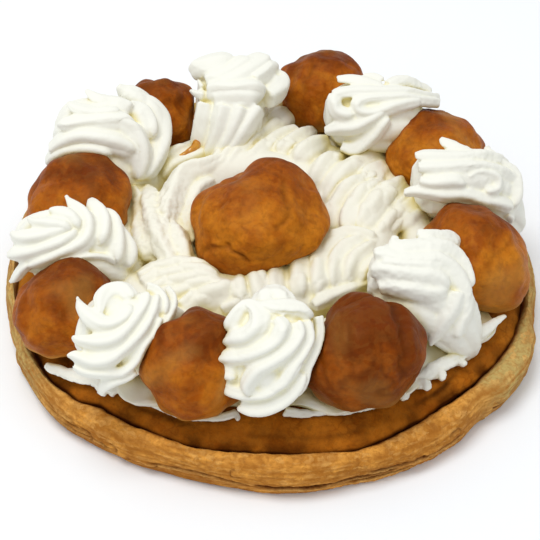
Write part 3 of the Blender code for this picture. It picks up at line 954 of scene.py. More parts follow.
@dataclass
class PuffPastryBase:
    """The baked disc that carries the cake, with a rolled rim and split layers.

    The profile runs from the floor of the disc over the rim and down its side, as rows of how
    far in from the radius and how far below the rim's top each point lies.  The spans tell, in
    the same way, where from the middle outwards a form starts and where it is whole.
    """

    radius: float = 115.0
    rim_height: float = 15.5
    floor: float = 10.0
    foot: float = 113.3
    inner: float = 105.2
    gap: float = 0.35
    inset: float = 0.4
    uneven: float = 0.35
    around: int = 1400
    wall_steps: int = 60
    profile: tuple[tuple[float, float], ...] = (
        (11.6, 5.3), (9.8, 2.0), (7.4, 0.1), (3.6, 0.6), (1.2, 3.2), (0.3, 7.2), (0.6, 10.0),
        (1.3, 12.0), (1.7, 14.0), (2.6, 15.2), (4.0, 15.5),
    )
    flat_radii: tuple[float, float] = (0.4, 60.0)
    rim_span: tuple[float, float] = (16.0, 12.0)
    edge_span: tuple[float, float] = (12.0, 6.0)
    side_span: tuple[float, float] = (9.5, 3.0)
    wall_span: tuple[float, float] = (7.0, 2.0)
    torn_azimuth: float = -41.5
    torn_depth: float = 1.3
    streak_depth: float = 0.22
    splits: tuple[Split, ...] = (
        Split(-114, -102, (6, 8.2), 0.9, 0.45),
        Split(-103, -93, (8.2, 5.4), 0.9, 0.45),
        Split(-92.5, -79, (5.8, 5.8), 2.2, 0.75),
        Split(-84, -65, (5.4, 6.1), 2.2, 0.75),
        Split(-75, -61, (4, 3.4), 1.5, 0.5),
        Split(-71, -58, (8.4, 7.8), 1.6, 0.6),
        Split(-60, -49, (7.4, 6.4), 1, 0.6),
        Split(-59, -47, (5, 4.4), 0.8, 0.5),
        Split(-41, -32, (5.6, 4.6), 1.8, 0.7),
        Split(-31, -12, (8, 6.5), 0.9, 0.6),
        Split(-140, -130, (11.6, 11), 0.6, 0.4),
        Split(-138, -126, (9.4, 9), 0.6, 0.4),
        Split(-134, -121, (7.4, 7), 0.5, 0.4),
        Split(-168, -143, (8, 6.5), 0.8, 0.5),
        Split(-2, 34, (6.2, 7), 1.6, 0.7),
        Split(42, 71, (5, 6.2), 1.8, 0.7),
        Split(66, 104, (7.6, 5.4), 1.5, 0.6),
        Split(112, 146, (5.4, 6.6), 1.9, 0.7),
        Split(139, 176, (8, 6.2), 1.2, 0.6),
    )
    blisters: tuple[Blister, ...] = (
        Blister(-128.5, 7, 5, 0.5, 20),
        Blister(-122, 7.2, 3.4, 0.6, 0),
        Blister(-119.5, 5, 3.6, 0.7, -80),
        Blister(-113.5, 5.2, 3.2, 0.6, -70),
        Blister(-96, 10.6, 2.6, 0.3, 200),
        Blister(-52, 9.8, 2.8, 0.4, 80),
        Blister(-38, 9, 3.6, 0.5, -60),
        Blister(-22, 6, 4.4, 0.6, 120),
        Blister(10, 8, 4, 0.6, 60),
        Blister(58, 9, 4.2, 0.6, -90),
        Blister(97, 6, 3.8, 0.6, 30),
        Blister(130, 8.4, 4.4, 0.5, 140),
        Blister(163, 6, 4, 0.6, -40),
        Blister(-152, 8, 4, 0.5, 70),
    )

    TEAR = (Relief(3.0, 0.7, 11),)
    STREAKS = (Relief(16.0, 1.0, 21, 16.0), Relief(7.0, 0.7, 22, 12.0), Relief(2.6, 0.5, 26, 8.0))
    SWELLS = (Relief(9.0, 0.22, 23, 2.0),)
    FLAKES = (Relief(2.4, 0.34, 24, 1.5), Relief(1.2, 0.24, 25, 1.5))
    WANDER = (Relief(16.0, 0.5, 31, 0.0), Relief(5.0, 0.3, 32, 0.0))
    RAGGED = (Relief(4.0, 0.6, 33, 0.3), Relief(1.4, 0.35, 34))
    STRAY = (Relief(3.0, 0.5, 35), Relief(1.2, 0.3, 36))
    TOP = (Relief(8.0, 0.25, 41), Relief(2.2, 0.12, 42))
    STRAW = (Relief(9.0, 5.0, 51),)
    SEAM = (Relief(5.0, 0.7, 52),)

    def outline(self) -> np.ndarray:
        """List the turned outline from the middle of the top to the middle of the underside.

        Returns:
            Rows of radius and height in millimetres.
        """
        wall = np.array([self.radius, self.rim_height]) - np.array(self.profile)
        near, far = self.flat_radii
        inner = np.array([(near, self.floor), (far, self.floor), (self.radius - 15.0, self.floor)])
        under = np.array([(self.radius - 8.0, 0.0), (far, 0.0), (near, 0.0)])
        return np.vstack([inner, smooth_route(wall, self.wall_steps), under])

    def beyond(self, radius: np.ndarray, span: tuple[float, float]) -> np.ndarray:
        """Rise from 0 to 1 over a span that is given from the disc's radius inwards."""
        return ramp(radius, self.radius - span[0], self.radius - span[1])

    def flakiness(self, azimuth: np.ndarray, height: np.ndarray) -> np.ndarray:
        """Tell how flaky the side is: most in front, where it also crumbles.

        Args:
            azimuth: Azimuths in degrees.
            height: Heights in millimetres.

        Returns:
            Shares, over 1 where the side crumbles.
        """
        front = ramp(np.abs(azimuth + 66.0), 26.0, 8.0)
        crumb = bell(azimuth, -56.0, 9.0) * bell(height, 5.5, 3.0)
        return 0.25 + 0.75 * front + 0.6 * crumb

    def reach(
        self, angle: np.ndarray, height: np.ndarray, place: np.ndarray, side: np.ndarray
    ) -> np.ndarray:
        """Work out how far the disc's uneven outline departs from a round one.

        Args:
            angle: Angles in radians.
            height: Heights in millimetres.
            place: The points' places.
            side: How far on the disc's side each point is.

        Returns:
            Distances in millimetres.
        """
        inner = seam_reach(place, angle) + self.gap - self.inner
        bumps = self.uneven * wave(angle, 1.0, (8, 13))
        outer = FOOT_REACH.at(angle) - self.foot - self.inset + bumps
        shift = inner + (outer - inner) * side
        shift = shift + 0.6 * side * bell(height, 7.0, 4.0) * wave(angle, 2.0, (9, 14, 19))
        torn = self.torn_azimuth + relief(place, self.TEAR)
        recess = ramp(np.degrees(angle) - torn, 0.0, 0.8) * (1.0 - ramp(angle, 0.2, 0.6))
        return shift - self.torn_depth * recess * side * (1.0 - ramp(height, 9.0, 13.0))

    def build(self, finishes: Finishes) -> bpy.types.Object:
        """Make the piece.

        Args:
            finishes: The cake's finishes.

        Returns:
            The piece.
        """
        angle, radius, height = turned(self.outline(), self.around)
        azimuth = np.degrees(angle)
        place = round_place(angle, radius, height)
        side = self.beyond(radius, self.side_span)
        wall = self.beyond(radius, self.wall_span)
        edge = self.beyond(radius, self.edge_span)
        streak = relief(place, self.STREAKS)
        shift = self.reach(angle, height, place, side)
        shift = shift + wall * (self.streak_depth * streak + relief(place, self.SWELLS))
        shift = shift + wall * self.flakiness(azimuth, height) * relief(place, self.FLAKES)
        wander = relief(place, self.WANDER)
        cuts = sum(split.cut(azimuth, height, wander) for split in self.splits)
        cuts = np.clip(1.0 + relief(place, self.RAGGED), 0.2, 1.6) * cuts
        layer = sum(
            np.clip(split.cut(azimuth, height + 1.6 * split.width, wander), 0.0, 0.5)
            for split in self.splits
        )
        stray = relief(place, self.STRAY)
        pressed = [blister.press(azimuth, height, stray) for blister in self.blisters]
        shift = shift + wall * (sum(move for move, _ in pressed) - cuts + 0.5 * layer)
        lift = ramp(height, 2.0, 12.0) * edge
        rise = 1.1 * wave(angle, 3.0, (2, 4, 7, 11)) + 1.2 * np.abs(np.cos(angle)) ** 3
        top = ramp(height, 12.0, 15.0) * relief(place, self.TOP)
        raised = np.maximum(height + rise * lift + top * edge, 0.0)
        rings = round_place(angle, radius + shift * self.beyond(radius, self.rim_span), raised)
        apart = np.abs((azimuth + 90.0 + 180.0) % 360.0 - 180.0)
        # painted shadow low on the rim's inner wall, under the choux layer's lip at the seam
        seam = 1.0 - ramp(height + relief(place, self.SEAM), 13.0, 15.6)
        ring = sum(cracked for _, cracked in pressed)
        shares = {
            "streak": np.clip(0.5 - 0.9 * streak, 0.0, 1.0) * wall,
            "straw": ramp(apart + relief(place, self.STRAW), 38.0, 58.0),
            "layer": np.clip(layer * 1.6, 0.0, 1.0) * wall,
            # crease: painted shade in the splits, along the blisters' cracked edges and at the seam
            "crease": np.clip(0.8 * cuts + 0.6 * ring, 0.0, 1.0) * wall + seam * (1.0 - side),
        }
        skin = closed_tube(rings, shares)
        return place_piece(
            skin, "pastry_disc", "puff_pastry_base", finishes.pastry
        )


@dataclass
class ChouxLayer:
    """The disc of choux dough on the base, whose lip slopes down to the rim.

    The profile runs down the lip, as rows of how far in from the radius and how far below the
    top each point lies.
    """

    radius: float = 102.6
    top: float = 20.0
    floor: float = 10.4
    gap: float = 0.2
    around: int = 640
    lip_steps: int = 50
    profile: tuple[tuple[float, float], ...] = (
        (14.0, 0.0), (9.0, 1.0), (5.0, 2.7), (1.8, 4.6), (0.0, 6.6), (0.3, 7.8), (4.6, 9.6),
    )
    flat_radii: tuple[float, ...] = (0.4, 50.0, 80.0)
    under_radii: tuple[float, ...] = (60.0, 0.4)
    edge_radii: tuple[float, float] = (93.0, 101.0)
    partings: tuple[tuple[float, float, float], ...] = ((-45.0, 7.0, 1.2), (-147.0, 5.0, 0.7))
    fold_height: float = 17.2
    fold_width: float = 0.45

    PARTED = (Relief(14.0, 1.0, 95, 0.0),)
    FOLD_LINE = (Relief(26.0, 0.9, 61, 0.0),)
    FOLD_SPOTS = (Relief(30.0, 1.0, 62, 0.0),)
    PATCHES = (Relief(18.0, 1.0, 64),)
    LOW_PATCHES = (Relief(8.0, 1.0, 66, 0.0),)

    def outline(self) -> np.ndarray:
        """List the turned outline from the middle of the top to the middle of the underside.

        Returns:
            Rows of radius and height in millimetres.
        """
        lip = np.array([self.radius, self.top]) - np.array(self.profile)
        inner = np.array([(radius, self.top) for radius in self.flat_radii])
        under = np.array([(radius, self.floor) for radius in self.under_radii])
        return np.vstack([inner, smooth_route(lip, self.lip_steps), under])

    def build(self, finishes: Finishes) -> bpy.types.Object:
        """Make the piece.

        Args:
            finishes: The cake's finishes.

        Returns:
            The piece.
        """
        angle, radius, height = turned(self.outline(), self.around)
        place = round_place(angle, radius, height)
        edge = ramp(radius, *self.edge_radii)
        azimuth = np.degrees(angle)
        parted = sum(depth * bell(azimuth, at, width) for at, width, depth in self.partings)
        parted = parted + 0.8 * np.clip(relief(place, self.PARTED), 0.0, 1.0)
        shift = seam_reach(place, angle) - self.gap - self.radius - parted
        sag = 0.5 * wave(angle, 5.0, (4, 7, 10)) * ramp(height, 12.0, 15.0)
        lip_share = ramp(radius, 86.0, 92.0) * ramp(height, 11.0, 13.0)
        fold_line = self.fold_height + relief(place, self.FOLD_LINE)
        fold = ramp(relief(place, self.FOLD_SPOTS), -0.2, 0.3)
        fold = fold * bell(height, fold_line, self.fold_width) * ramp(radius, 92.0, 95.0)
        rough = 0.34 * layered_lumps(place, 6.0, 63) + 0.22 * layered_lumps(place, 1.8, 65, 2)
        rings = round_place(
            angle,
            radius + (shift - 0.9 * fold + 0.5 * rough) * edge,
            height + sag * edge + lip_share * (rough - 0.7 * fold),
        )
        patch = relief(place, self.PATCHES)
        # dark patches low on the lip, added to the crease share
        low_patch = 0.7 * (1.0 - ramp(height, 14.4, 18.0)) * ramp(relief(place, self.LOW_PATCHES), -0.3, 0.5)
        shares = {
            # crease: painted shade in the fold line and on the lip's underside at the seam, plus the dark
            # patches low on the lip
            "crease": np.clip(0.6 * fold + 1.0 - ramp(height, 12.8, 14.4) + low_patch, 0.0, 1.0),
            "bake": 0.35 * patch + 0.1,
            "pale": 0.35 * ramp(np.abs(np.cos(angle)), 0.6, 0.95) * ramp(patch, -0.4, 0.4),
        }
        skin = closed_tube(rings, shares)
        return place_piece(skin, "choux_disc", "choux_layer", finishes.layer)


def aim(azimuth: float, elevation: float) -> np.ndarray:
    """Turn an azimuth and an elevation into a direction.

    Args:
        azimuth: Degrees round the puff.
        elevation: Degrees above its middle.

    Returns:
        The direction.
    """
    turn, lift = math.radians(azimuth), math.radians(elevation)
    level = math.cos(lift)
    return np.array([math.cos(turn) * level, math.sin(turn) * level, math.sin(lift)])


@dataclass(frozen=True)
class Dent:
    """A hollow or, with a depth below 0, a lump in a puff's crust."""

    azimuth: float
    elevation: float
    depth: float
    spread: float = 26.0


@dataclass(frozen=True)
class Crack:
    """A crease across a puff's crust, from one direction to another (azimuth, elevation)."""

    start: tuple[float, float]
    end: tuple[float, float]
    depth: float = 0.03
    width: float = 3.0

    WANDER = (Relief(0.35, 0.07, 71), Relief(0.1, 0.02, 72))
    LIP_PLACE = 2.0
    LIP_SHARE = 0.35

    def profile(self, ways: np.ndarray) -> tuple[np.ndarray, np.ndarray]:
        """Work out the crease.

        Args:
            ways: Directions from the puff's middle.

        Returns:
            How far the crust moves in, and how deep in the crease each point is.
        """
        first = aim(*self.start)
        last = aim(*self.end)
        across = np.cross(first, last)
        across /= np.linalg.norm(across)
        span = math.acos(float(np.clip(first @ last, -1.0, 1.0)))
        side = np.cross(across, first)
        along = np.arctan2(ways @ side, ways @ first) / span
        away = np.arcsin(np.clip(ways @ across, -1.0, 1.0)) + relief(ways, self.WANDER)
        away = away / math.radians(self.width)
        here = ramp(along, -0.15, 0.15) * (1.0 - ramp(along, 0.85, 1.15))
        valley = here * np.exp(-away * away)
        lips = here * (bell(away, self.LIP_PLACE, 1.0) + bell(away, -self.LIP_PLACE, 1.0))
        return self.depth * (valley - self.LIP_SHARE * lips), valley


def ball_grid(count: int) -> tuple[np.ndarray, list[list[int]]]:
    """Spread an even grid of four-sided faces over a ball.

    Args:
        count: How many faces lie along a side of the grid's six fields.

    Returns:
        Directions from the middle, and the faces.
    """
    shell = bmesh.new()
    bmesh.ops.create_cube(shell, size=2.0)
    bmesh.ops.subdivide_edges(shell, edges=shell.edges[:], cuts=count - 1, use_grid_fill=True)
    ways = np.array([vertex.co[:] for vertex in shell.verts])
    faces = [[vertex.index for vertex in face.verts] for face in shell.faces]
    shell.free()
    ways = np.tan(ways * math.pi / 4.0)
    return ways / np.linalg.norm(ways, axis=1, keepdims=True), faces


@dataclass
class ChouxPuff:
    """A baked choux puff: a lumpy, wrinkled ball with a flat seat.

    Its reliefs are on a ball of radius 1, and their seeds are counted on from the puff's own.
    """

    node: str
    x: float
    y: float
    width: float
    height: float
    seed: int
    seat: float = 20.4
    bake: float = 0.0
    wrinkle: float = 0.3
    dents: tuple[Dent, ...] = ()
    cracks: tuple[Crack, ...] = ()

    LUMP = (1.25, 0.12)
    FOLD = (2.6, 0.08)
    CREASE = (1.7, 0.015)
    BEND = Relief(0.5, 0.10, 0)
    WRINKLES = (Relief(0.42, 5.0, 5),)
    WRINKLED = (Relief(0.8, 1.0, 6),)
    WRINKLE_DEPTH = 0.022
    PORES = (Relief(0.34, 0.004, 7), Relief(0.11, 0.0022, 8))
    FOOT_LINE = (Relief(0.5, 0.08, 9),)
    PATCHES = (Relief(0.7, 1.0, 10),)
    BROWNING = (Relief(0.9, 0.35, 11),)
    SEAT_SHARE = 0.1
    DEEP_CRACK = 0.05

    def swell(self, ways: np.ndarray) -> np.ndarray:
        """Give the crust's reach, as the solid has it.

        Args:
            ways: Directions from the puff's middle.

        Returns:
            Shares of the radius.
        """
        seat = Vector((self.seed * 3.7, self.seed * 1.3, self.seed * 0.9))
        reach = np.empty(len(ways))
        for index, way in enumerate(map(Vector, ways.tolist())):
            lump = self.LUMP[1] * noise.noise(way * self.LUMP[0] + seat)
            fold = self.FOLD[1] * noise.noise(way * self.FOLD[0] + seat * 2.0)
            crease = 1.0 - abs(noise.noise(way * self.CREASE[0] + seat * 3.0)) * 6.0
            reach[index] = 1.0 + lump + fold - self.CREASE[1] * max(crease, 0.0) ** 2
        for dent in self.dents:
            away = np.arccos(np.clip(ways @ aim(dent.azimuth, dent.elevation), -1.0, 1.0))
            reach -= dent.depth * bell(away, 0.0, math.radians(dent.spread))
        return reach

    def wrinkles(self, ways: np.ndarray, seed: int) -> np.ndarray:
        """Work out the wrinkles between a net of lumps, in patches.

        Args:
            ways: Directions from the puff's middle.
            seed: Picks the net.

        Returns:
            How deep in a wrinkle each point is.
        """
        bend = self.BEND
        bends = [lumps(ways, bend.size, seed + axis) for axis in range(3)]
        net = relief(ways + bend.height * np.stack(bends, -1), self.WRINKLES, seed)
        wrinkle = np.clip(1.0 - np.abs(net), 0.0, 1.0) ** 2
        return wrinkle * ramp(relief(ways, self.WRINKLED, seed), -0.2, 0.4) * self.wrinkle

    def build(
        self, grid: tuple[np.ndarray, list[list[int]]], finishes: Finishes
    ) -> bpy.types.Object:
        """Make the piece.

        Args:
            grid: Directions and faces of an even ball.
            finishes: The cake's finishes.

        Returns:
            The piece.
        """
        ways, faces = grid
        reach = self.swell(ways)
        crease = np.zeros(len(ways))
        for crack in self.cracks:
            moved, valley = crack.profile(ways)
            reach -= moved
            crease = np.maximum(crease, valley * min(crack.depth / self.DEEP_CRACK, 1.0))
        seed = self.seed * 101
        wrinkle = self.wrinkles(ways, seed)
        reach -= self.WRINKLE_DEPTH * wrinkle
        reach += relief(ways, self.PORES, seed)
        place = ways * reach[:, None]
        flat = self.SEAT_SHARE * self.height
        tall = (0.5 + 0.5 * place[:, 2]) * self.height
        half = 0.5 * self.width
        across, along = self.x + half * place[:, 0], self.y + half * place[:, 1]
        points = np.stack([across, along, self.seat + np.maximum(tall, flat) - flat], axis=-1)
        foot = 1.0 - ramp(tall / self.height + relief(ways, self.FOOT_LINE, seed), 0.2, 0.45)
        patch = ramp(relief(ways, self.PATCHES, seed), 0.15, 0.7)
        # the bake share rises towards the top and the back of each puff, which come out darker there
        top = ramp(ways[:, 1] + ways[:, 2], 0.1, 1.35)
        shares = {
            # crease: painted shade in the cracks' valleys and in the wrinkles
            "crease": np.clip(0.6 * crease + 0.3 * wrinkle, 0.0, 1.0),
            "bake": self.bake + 0.15 + 0.95 * top + relief(ways, self.BROWNING, seed),
            "pale": np.clip(0.55 * foot + 0.26 * patch, 0.0, 0.8) * (1.0 - 0.4 * self.bake),
        }
        skin = Skin(points, faces, shares)
        name = self.node.replace("choux_puff", "baked_puff")
        return place_piece(skin, name, self.node, finishes.crust)


def relax(points: np.ndarray, pairs: np.ndarray, rounds: int) -> np.ndarray:
    """Draw every point towards its neighbours.

    Args:
        points: The points.
        pairs: The neighbours, two to a row.
        rounds: How often the points move.

    Returns:
        The moved points.
    """
    one, two = pairs[:, 0], pairs[:, 1]
    ends = np.concatenate([one, two])
    count = np.bincount(ends, minlength=len(points))[:, None]
    for _ in range(rounds):
        near = np.concatenate([points[two], points[one]])
        total = np.stack(
            [np.bincount(ends, near[:, axis], minlength=len(points)) for axis in range(3)], -1
        )
        points = 0.5 * points + 0.5 * total / count
    return points


@dataclass(frozen=True)
class Viewpoint:
    """Where the cake is seen from: the place in view, in metres, and a lens."""

    target: tuple[float, float, float]
    elevation: float
    distance: float
    roll: float
    focal: float
    sensor: float = 36.0
    picture: float = 540.0

    def axes(self) -> tuple[np.ndarray, np.ndarray, np.ndarray]:
        """Work out how the view is turned.

        Returns:
            The directions to the right, up and forward in the view.
        """
        lift, roll = math.radians(self.elevation), math.radians(self.roll)
        forward = np.array([0.0, math.cos(lift), -math.sin(lift)])
        right = np.array([1.0, 0.0, 0.0])
        up = np.array([0.0, math.sin(lift), math.cos(lift)])
        turned_right = math.cos(roll) * right + math.sin(roll) * up
        turned_up = math.cos(roll) * up - math.sin(roll) * right
        return turned_right, turned_up, forward

    def place(self) -> np.ndarray:
        """Give the place of the lens, in metres."""
        return np.array(self.target) - self.axes()[2] * self.distance

    def lens(self) -> float:
        """Give the focal length, counted in points of the picture."""
        return self.focal / self.sensor * self.picture

    def ways(self, points: np.ndarray) -> np.ndarray:
        """Give the directions in which points of the picture are seen.

        Args:
            points: Rows of how far across and how far down the picture each point is.

        Returns:
            Directions from the lens.
        """
        right, up, forward = self.axes()
        middle, lens = 0.5 * self.picture, self.lens()
        across, above = (points[:, :1] - middle) / lens, (middle - points[:, 1:2]) / lens
        ways = forward + across * right + above * up
        return ways / np.linalg.norm(ways, axis=1, keepdims=True)


@dataclass(frozen=True)
class Surface:
    """The smooth surface that followed lines are laid on: balls along a rope, over a level."""

    middles: np.ndarray = field(default_factory=lambda: np.empty((0, 3)))
    radii: np.ndarray = field(default_factory=lambda: np.empty(0))
    level: float = -math.inf
    sink: float = 0.66
    widen: float = 1.0
    smooth: bool = True

    def depth(self, start: np.ndarray, way: np.ndarray) -> float:
        """Find how far off the surface is, seen from a place.

        Args:
            start: The place in millimetres.
            way: The direction of sight.

        Returns:
            The distance in millimetres, or that of the nearest ball where sight passes them all.
        """
        off = start - self.middles
        along = -(off @ way)
        square = (off * off).sum(axis=1)
        inside = along * along - square + self.radii**2
        hits = along[inside > 0.0] - np.sqrt(inside[inside > 0.0])
        found = min([(self.level - start[2]) / way[2], *hits])
        if math.isfinite(found):
            return found
        return along[(np.sqrt(square - along * along) - self.radii).argmin()]

    def lay(self, trace: Trace, bury: float = 0.0) -> np.ndarray:
        """Lay a line on the surface, where it was seen from the viewpoint.

        Args:
            trace: Rows of how far across and how far down the picture a point of the line is,
                its half width there and, where it counts, how many millimetres nearer it lies.
            bury: How many millimetres deeper both ends lie.

        Returns:
            Rows of x, y, z and girth in millimetres.
        """
        rows = np.array([(*row, 0.0)[:4] for row in trace], float)
        rows[[0, -1], 3] -= bury
        start = FOLLOWED_FROM.place() / MM
        ways = FOLLOWED_FROM.ways(rows)
        depth = np.array([self.depth(start, way) for way in ways])
        if self.smooth and len(depth) > 2:
            depth[1:-1] = 0.25 * depth[:-2] + 0.5 * depth[1:-1] + 0.25 * depth[2:]
        girth = self.widen * rows[:, 2] * depth / FOLLOWED_FROM.lens()
        places = start + ways * (depth + self.sink * girth - rows[:, 3])[:, None]
        return np.column_stack([np.round(2.0 * places) / 2.0, np.round(10.0 * girth) / 10.0])


@dataclass
class CreamHeap:
    """Strands of cream that run into each other and become one skin."""

    voxel: float = 0.5
    soften: int = 1
    fill: int = 6
    flatten: float = 0.2
    sharp: float = 0.34
    keen: float = 0.6
    rough: float = 0.1
    ceiling: float = 62.0
    seed: int = 1
    torn: tuple[tuple[float, float, float, float, float], ...] = ()

    STEP = 0.6
    LEAST_GIRTH = 0.7
    CREST_ANGLE = 0.35
    CREST_REACH = 1.15
    HIGHEST_CREST = 1.3
    GROOVE_ROUNDS = 14
    GROOVE_DEPTH = 0.6
    SWELL = (7.0, 0.3)
    ROUGH_SIZE = 2.2
    TORN_SIZE = 3.4

    def strand(self, route: Route, core: np.ndarray, crest: float = 0.22, around: int = 26) -> Skin:
        """Make a strand along a route of (x, y, z, girth), crested away from a core.

        Args:
            route: The places and girths that the strand passes.
            core: Places that the strand's crest points away from.
            crest: How far the crest stands out, as a share of the girth.
            around: How many points lie round the strand.

        Returns:
            The strand's skin.
        """
        rows = np.array(route)
        length = float(np.linalg.norm(np.diff(rows[:, :3], axis=0), axis=1).sum())
        line = smooth_route(rows, max(int(length / self.STEP), 10))
        centres, girth = line[:, :3], np.maximum(line[:, 3], self.LEAST_GIRTH)
        steps = np.linalg.norm(np.diff(centres, axis=0), axis=1)
        left = np.concatenate([np.cumsum(steps[::-1])[::-1], [0.0]])
        girth = girth * np.sqrt(np.clip(1.0 - (1.0 - np.minimum(left / girth, 1.0)) ** 2, 0.03, 1))
        _, side, lift = carried_frames(centres)
        gaps = np.linalg.norm(centres[:, None, :] - core[None, :, :], axis=2)
        out = centres - core[gaps.argmin(axis=1)]
        face = np.arctan2((out * lift).sum(axis=1), (out * side).sum(axis=1))[:, None]
        angle = np.linspace(0.0, math.tau, around, endpoint=False)[None, :]
        turn = (angle - face + math.pi) % math.tau - math.pi
        reach = 1.0 + crest * np.exp(-np.abs(turn) / self.CREST_ANGLE)
        reach = reach + self.flatten * np.sin(turn) ** 2
        ring = ring_ways(angle, side, lift)
        skin = closed_tube(centres[:, None, :] + (girth[:, None] * reach)[..., None] * ring)
        if crest > 0.0:
            top = np.cos(face) * side + np.sin(face) * lift
            skin.crest = np.column_stack([centres + girth[:, None] * top, girth])
        return skin

    def sharpen(self, points: np.ndarray, crests: np.ndarray) -> np.ndarray:
        """Work out how far points near a strand's crest stand out.

        Args:
            points: The points.
            crests: The crests' places, with the strand's girth there.

        Returns:
            Distances in millimetres.
        """
        tree = kdtree.KDTree(len(crests))
        for index, place in enumerate(crests[:, :3].tolist()):
            tree.insert(place, index)
        tree.balance()
        found = [tree.find(place)[1:] for place in points.tolist()]
        nearest = np.array([index for index, _ in found])
        away = np.array([distance for _, distance in found])
        girth = crests[nearest, 3]
        share = np.clip(self.CREST_REACH - away / (self.keen * girth), 0.0, 1.0)
        return np.minimum(self.sharp * girth, self.HIGHEST_CREST) * share

    def melt(
        self, skins: Sequence[Skin]
    ) -> tuple[np.ndarray, np.ndarray, np.ndarray, list[list[int]]]:
        """Melt overlapping skins into one.

        Args:
            skins: The overlapping skins.

        Returns:
            Its points, the pairs of neighbours, the points' outward directions and the faces.
        """
        faces: list[list[int]] = []
        start = 0
        for skin in skins:
            faces.extend([corner + start for corner in face] for face in skin.faces)
            start += len(skin.points)
        mesh = bpy.data.meshes.new("strands")
        mesh.from_pydata(np.vstack([skin.points for skin in skins]).tolist(), [], faces)
        item = bpy.data.objects.new("strands", mesh)
        bpy.context.scene.collection.objects.link(item)
        remesh = item.modifiers.new("Fuse", "REMESH")
        remesh.mode = "VOXEL"
        remesh.voxel_size = self.voxel
        bpy.context.view_layer.update()
        fused = bpy.data.meshes.new_from_object(
            item.evaluated_get(bpy.context.evaluated_depsgraph_get())
        )
        bpy.data.objects.remove(item, do_unlink=True)
        bpy.data.meshes.remove(mesh)
        points = np.empty(3 * len(fused.vertices))
        fused.vertices.foreach_get("co", points)
        pairs = np.empty(2 * len(fused.edges), dtype=np.int64)
        fused.edges.foreach_get("vertices", pairs)
        pairs = pairs.reshape(-1, 2)
        points = relax(points.reshape(-1, 3), pairs, self.soften)
        fused.vertices.foreach_set("co", points.ravel())
        fused.update()
        normals = np.empty(3 * len(fused.vertices))
        fused.vertex_normals.foreach_get("vector", normals)
        melted = [list(face.vertices) for face in fused.polygons]
        bpy.data.meshes.remove(fused)
        return points, pairs, normals.reshape(-1, 3), melted

    def fuse(self, skins: Sequence[Skin]) -> Skin:
        """Fuse overlapping skins into one, soften it and roughen it.

        Args:
            skins: The overlapping skins.

        Returns:
            The fused skin, with a share that tells how deep in a groove each point is.
        """
        points, pairs, normals, faces = self.melt(skins)
        sunk = relax(points, pairs, self.GROOVE_ROUNDS) - points
        # groove tells how deep in a groove a point is; the cream finishes paint light there by it
        groove = ramp((sunk * normals).sum(axis=1), 0.0, self.GROOVE_DEPTH)
        for _ in range(self.fill):
            rise = ((relax(points, pairs, 1) - points) * normals).sum(axis=1)
            points = points + np.maximum(rise, 0.0)[:, None] * normals
        points = relax(points, pairs, 1)
        crests = np.vstack([skin.crest for skin in skins])
        if len(crests):
            points = points + self.sharpen(points, crests)[:, None] * normals
        size, height = self.SWELL
        move = height * lumps(points, size, self.seed)
        move = move + self.rough * layered_lumps(points, self.ROUGH_SIZE, self.seed + 1, 2)
        for x, y, z, reach, depth in self.torn:
            away = np.linalg.norm(points - (x, y, z), axis=1)
            tear = layered_lumps(points, self.TORN_SIZE, self.seed + 2, 3)
            move = move + depth * bell(away, 0.0, reach) * tear
        points = points + move[:, None] * normals
        points[:, 2] -= 0.5 * np.maximum(points[:, 2] - self.ceiling, 0.0)
        return Skin(points, faces, {"groove": groove})


@dataclass(frozen=True)
class Bulk:
    """Where the smooth bulk of a rosette starts, how long it is and how thick."""

    start: tuple[float, float, float]
    length: float
    radius: float


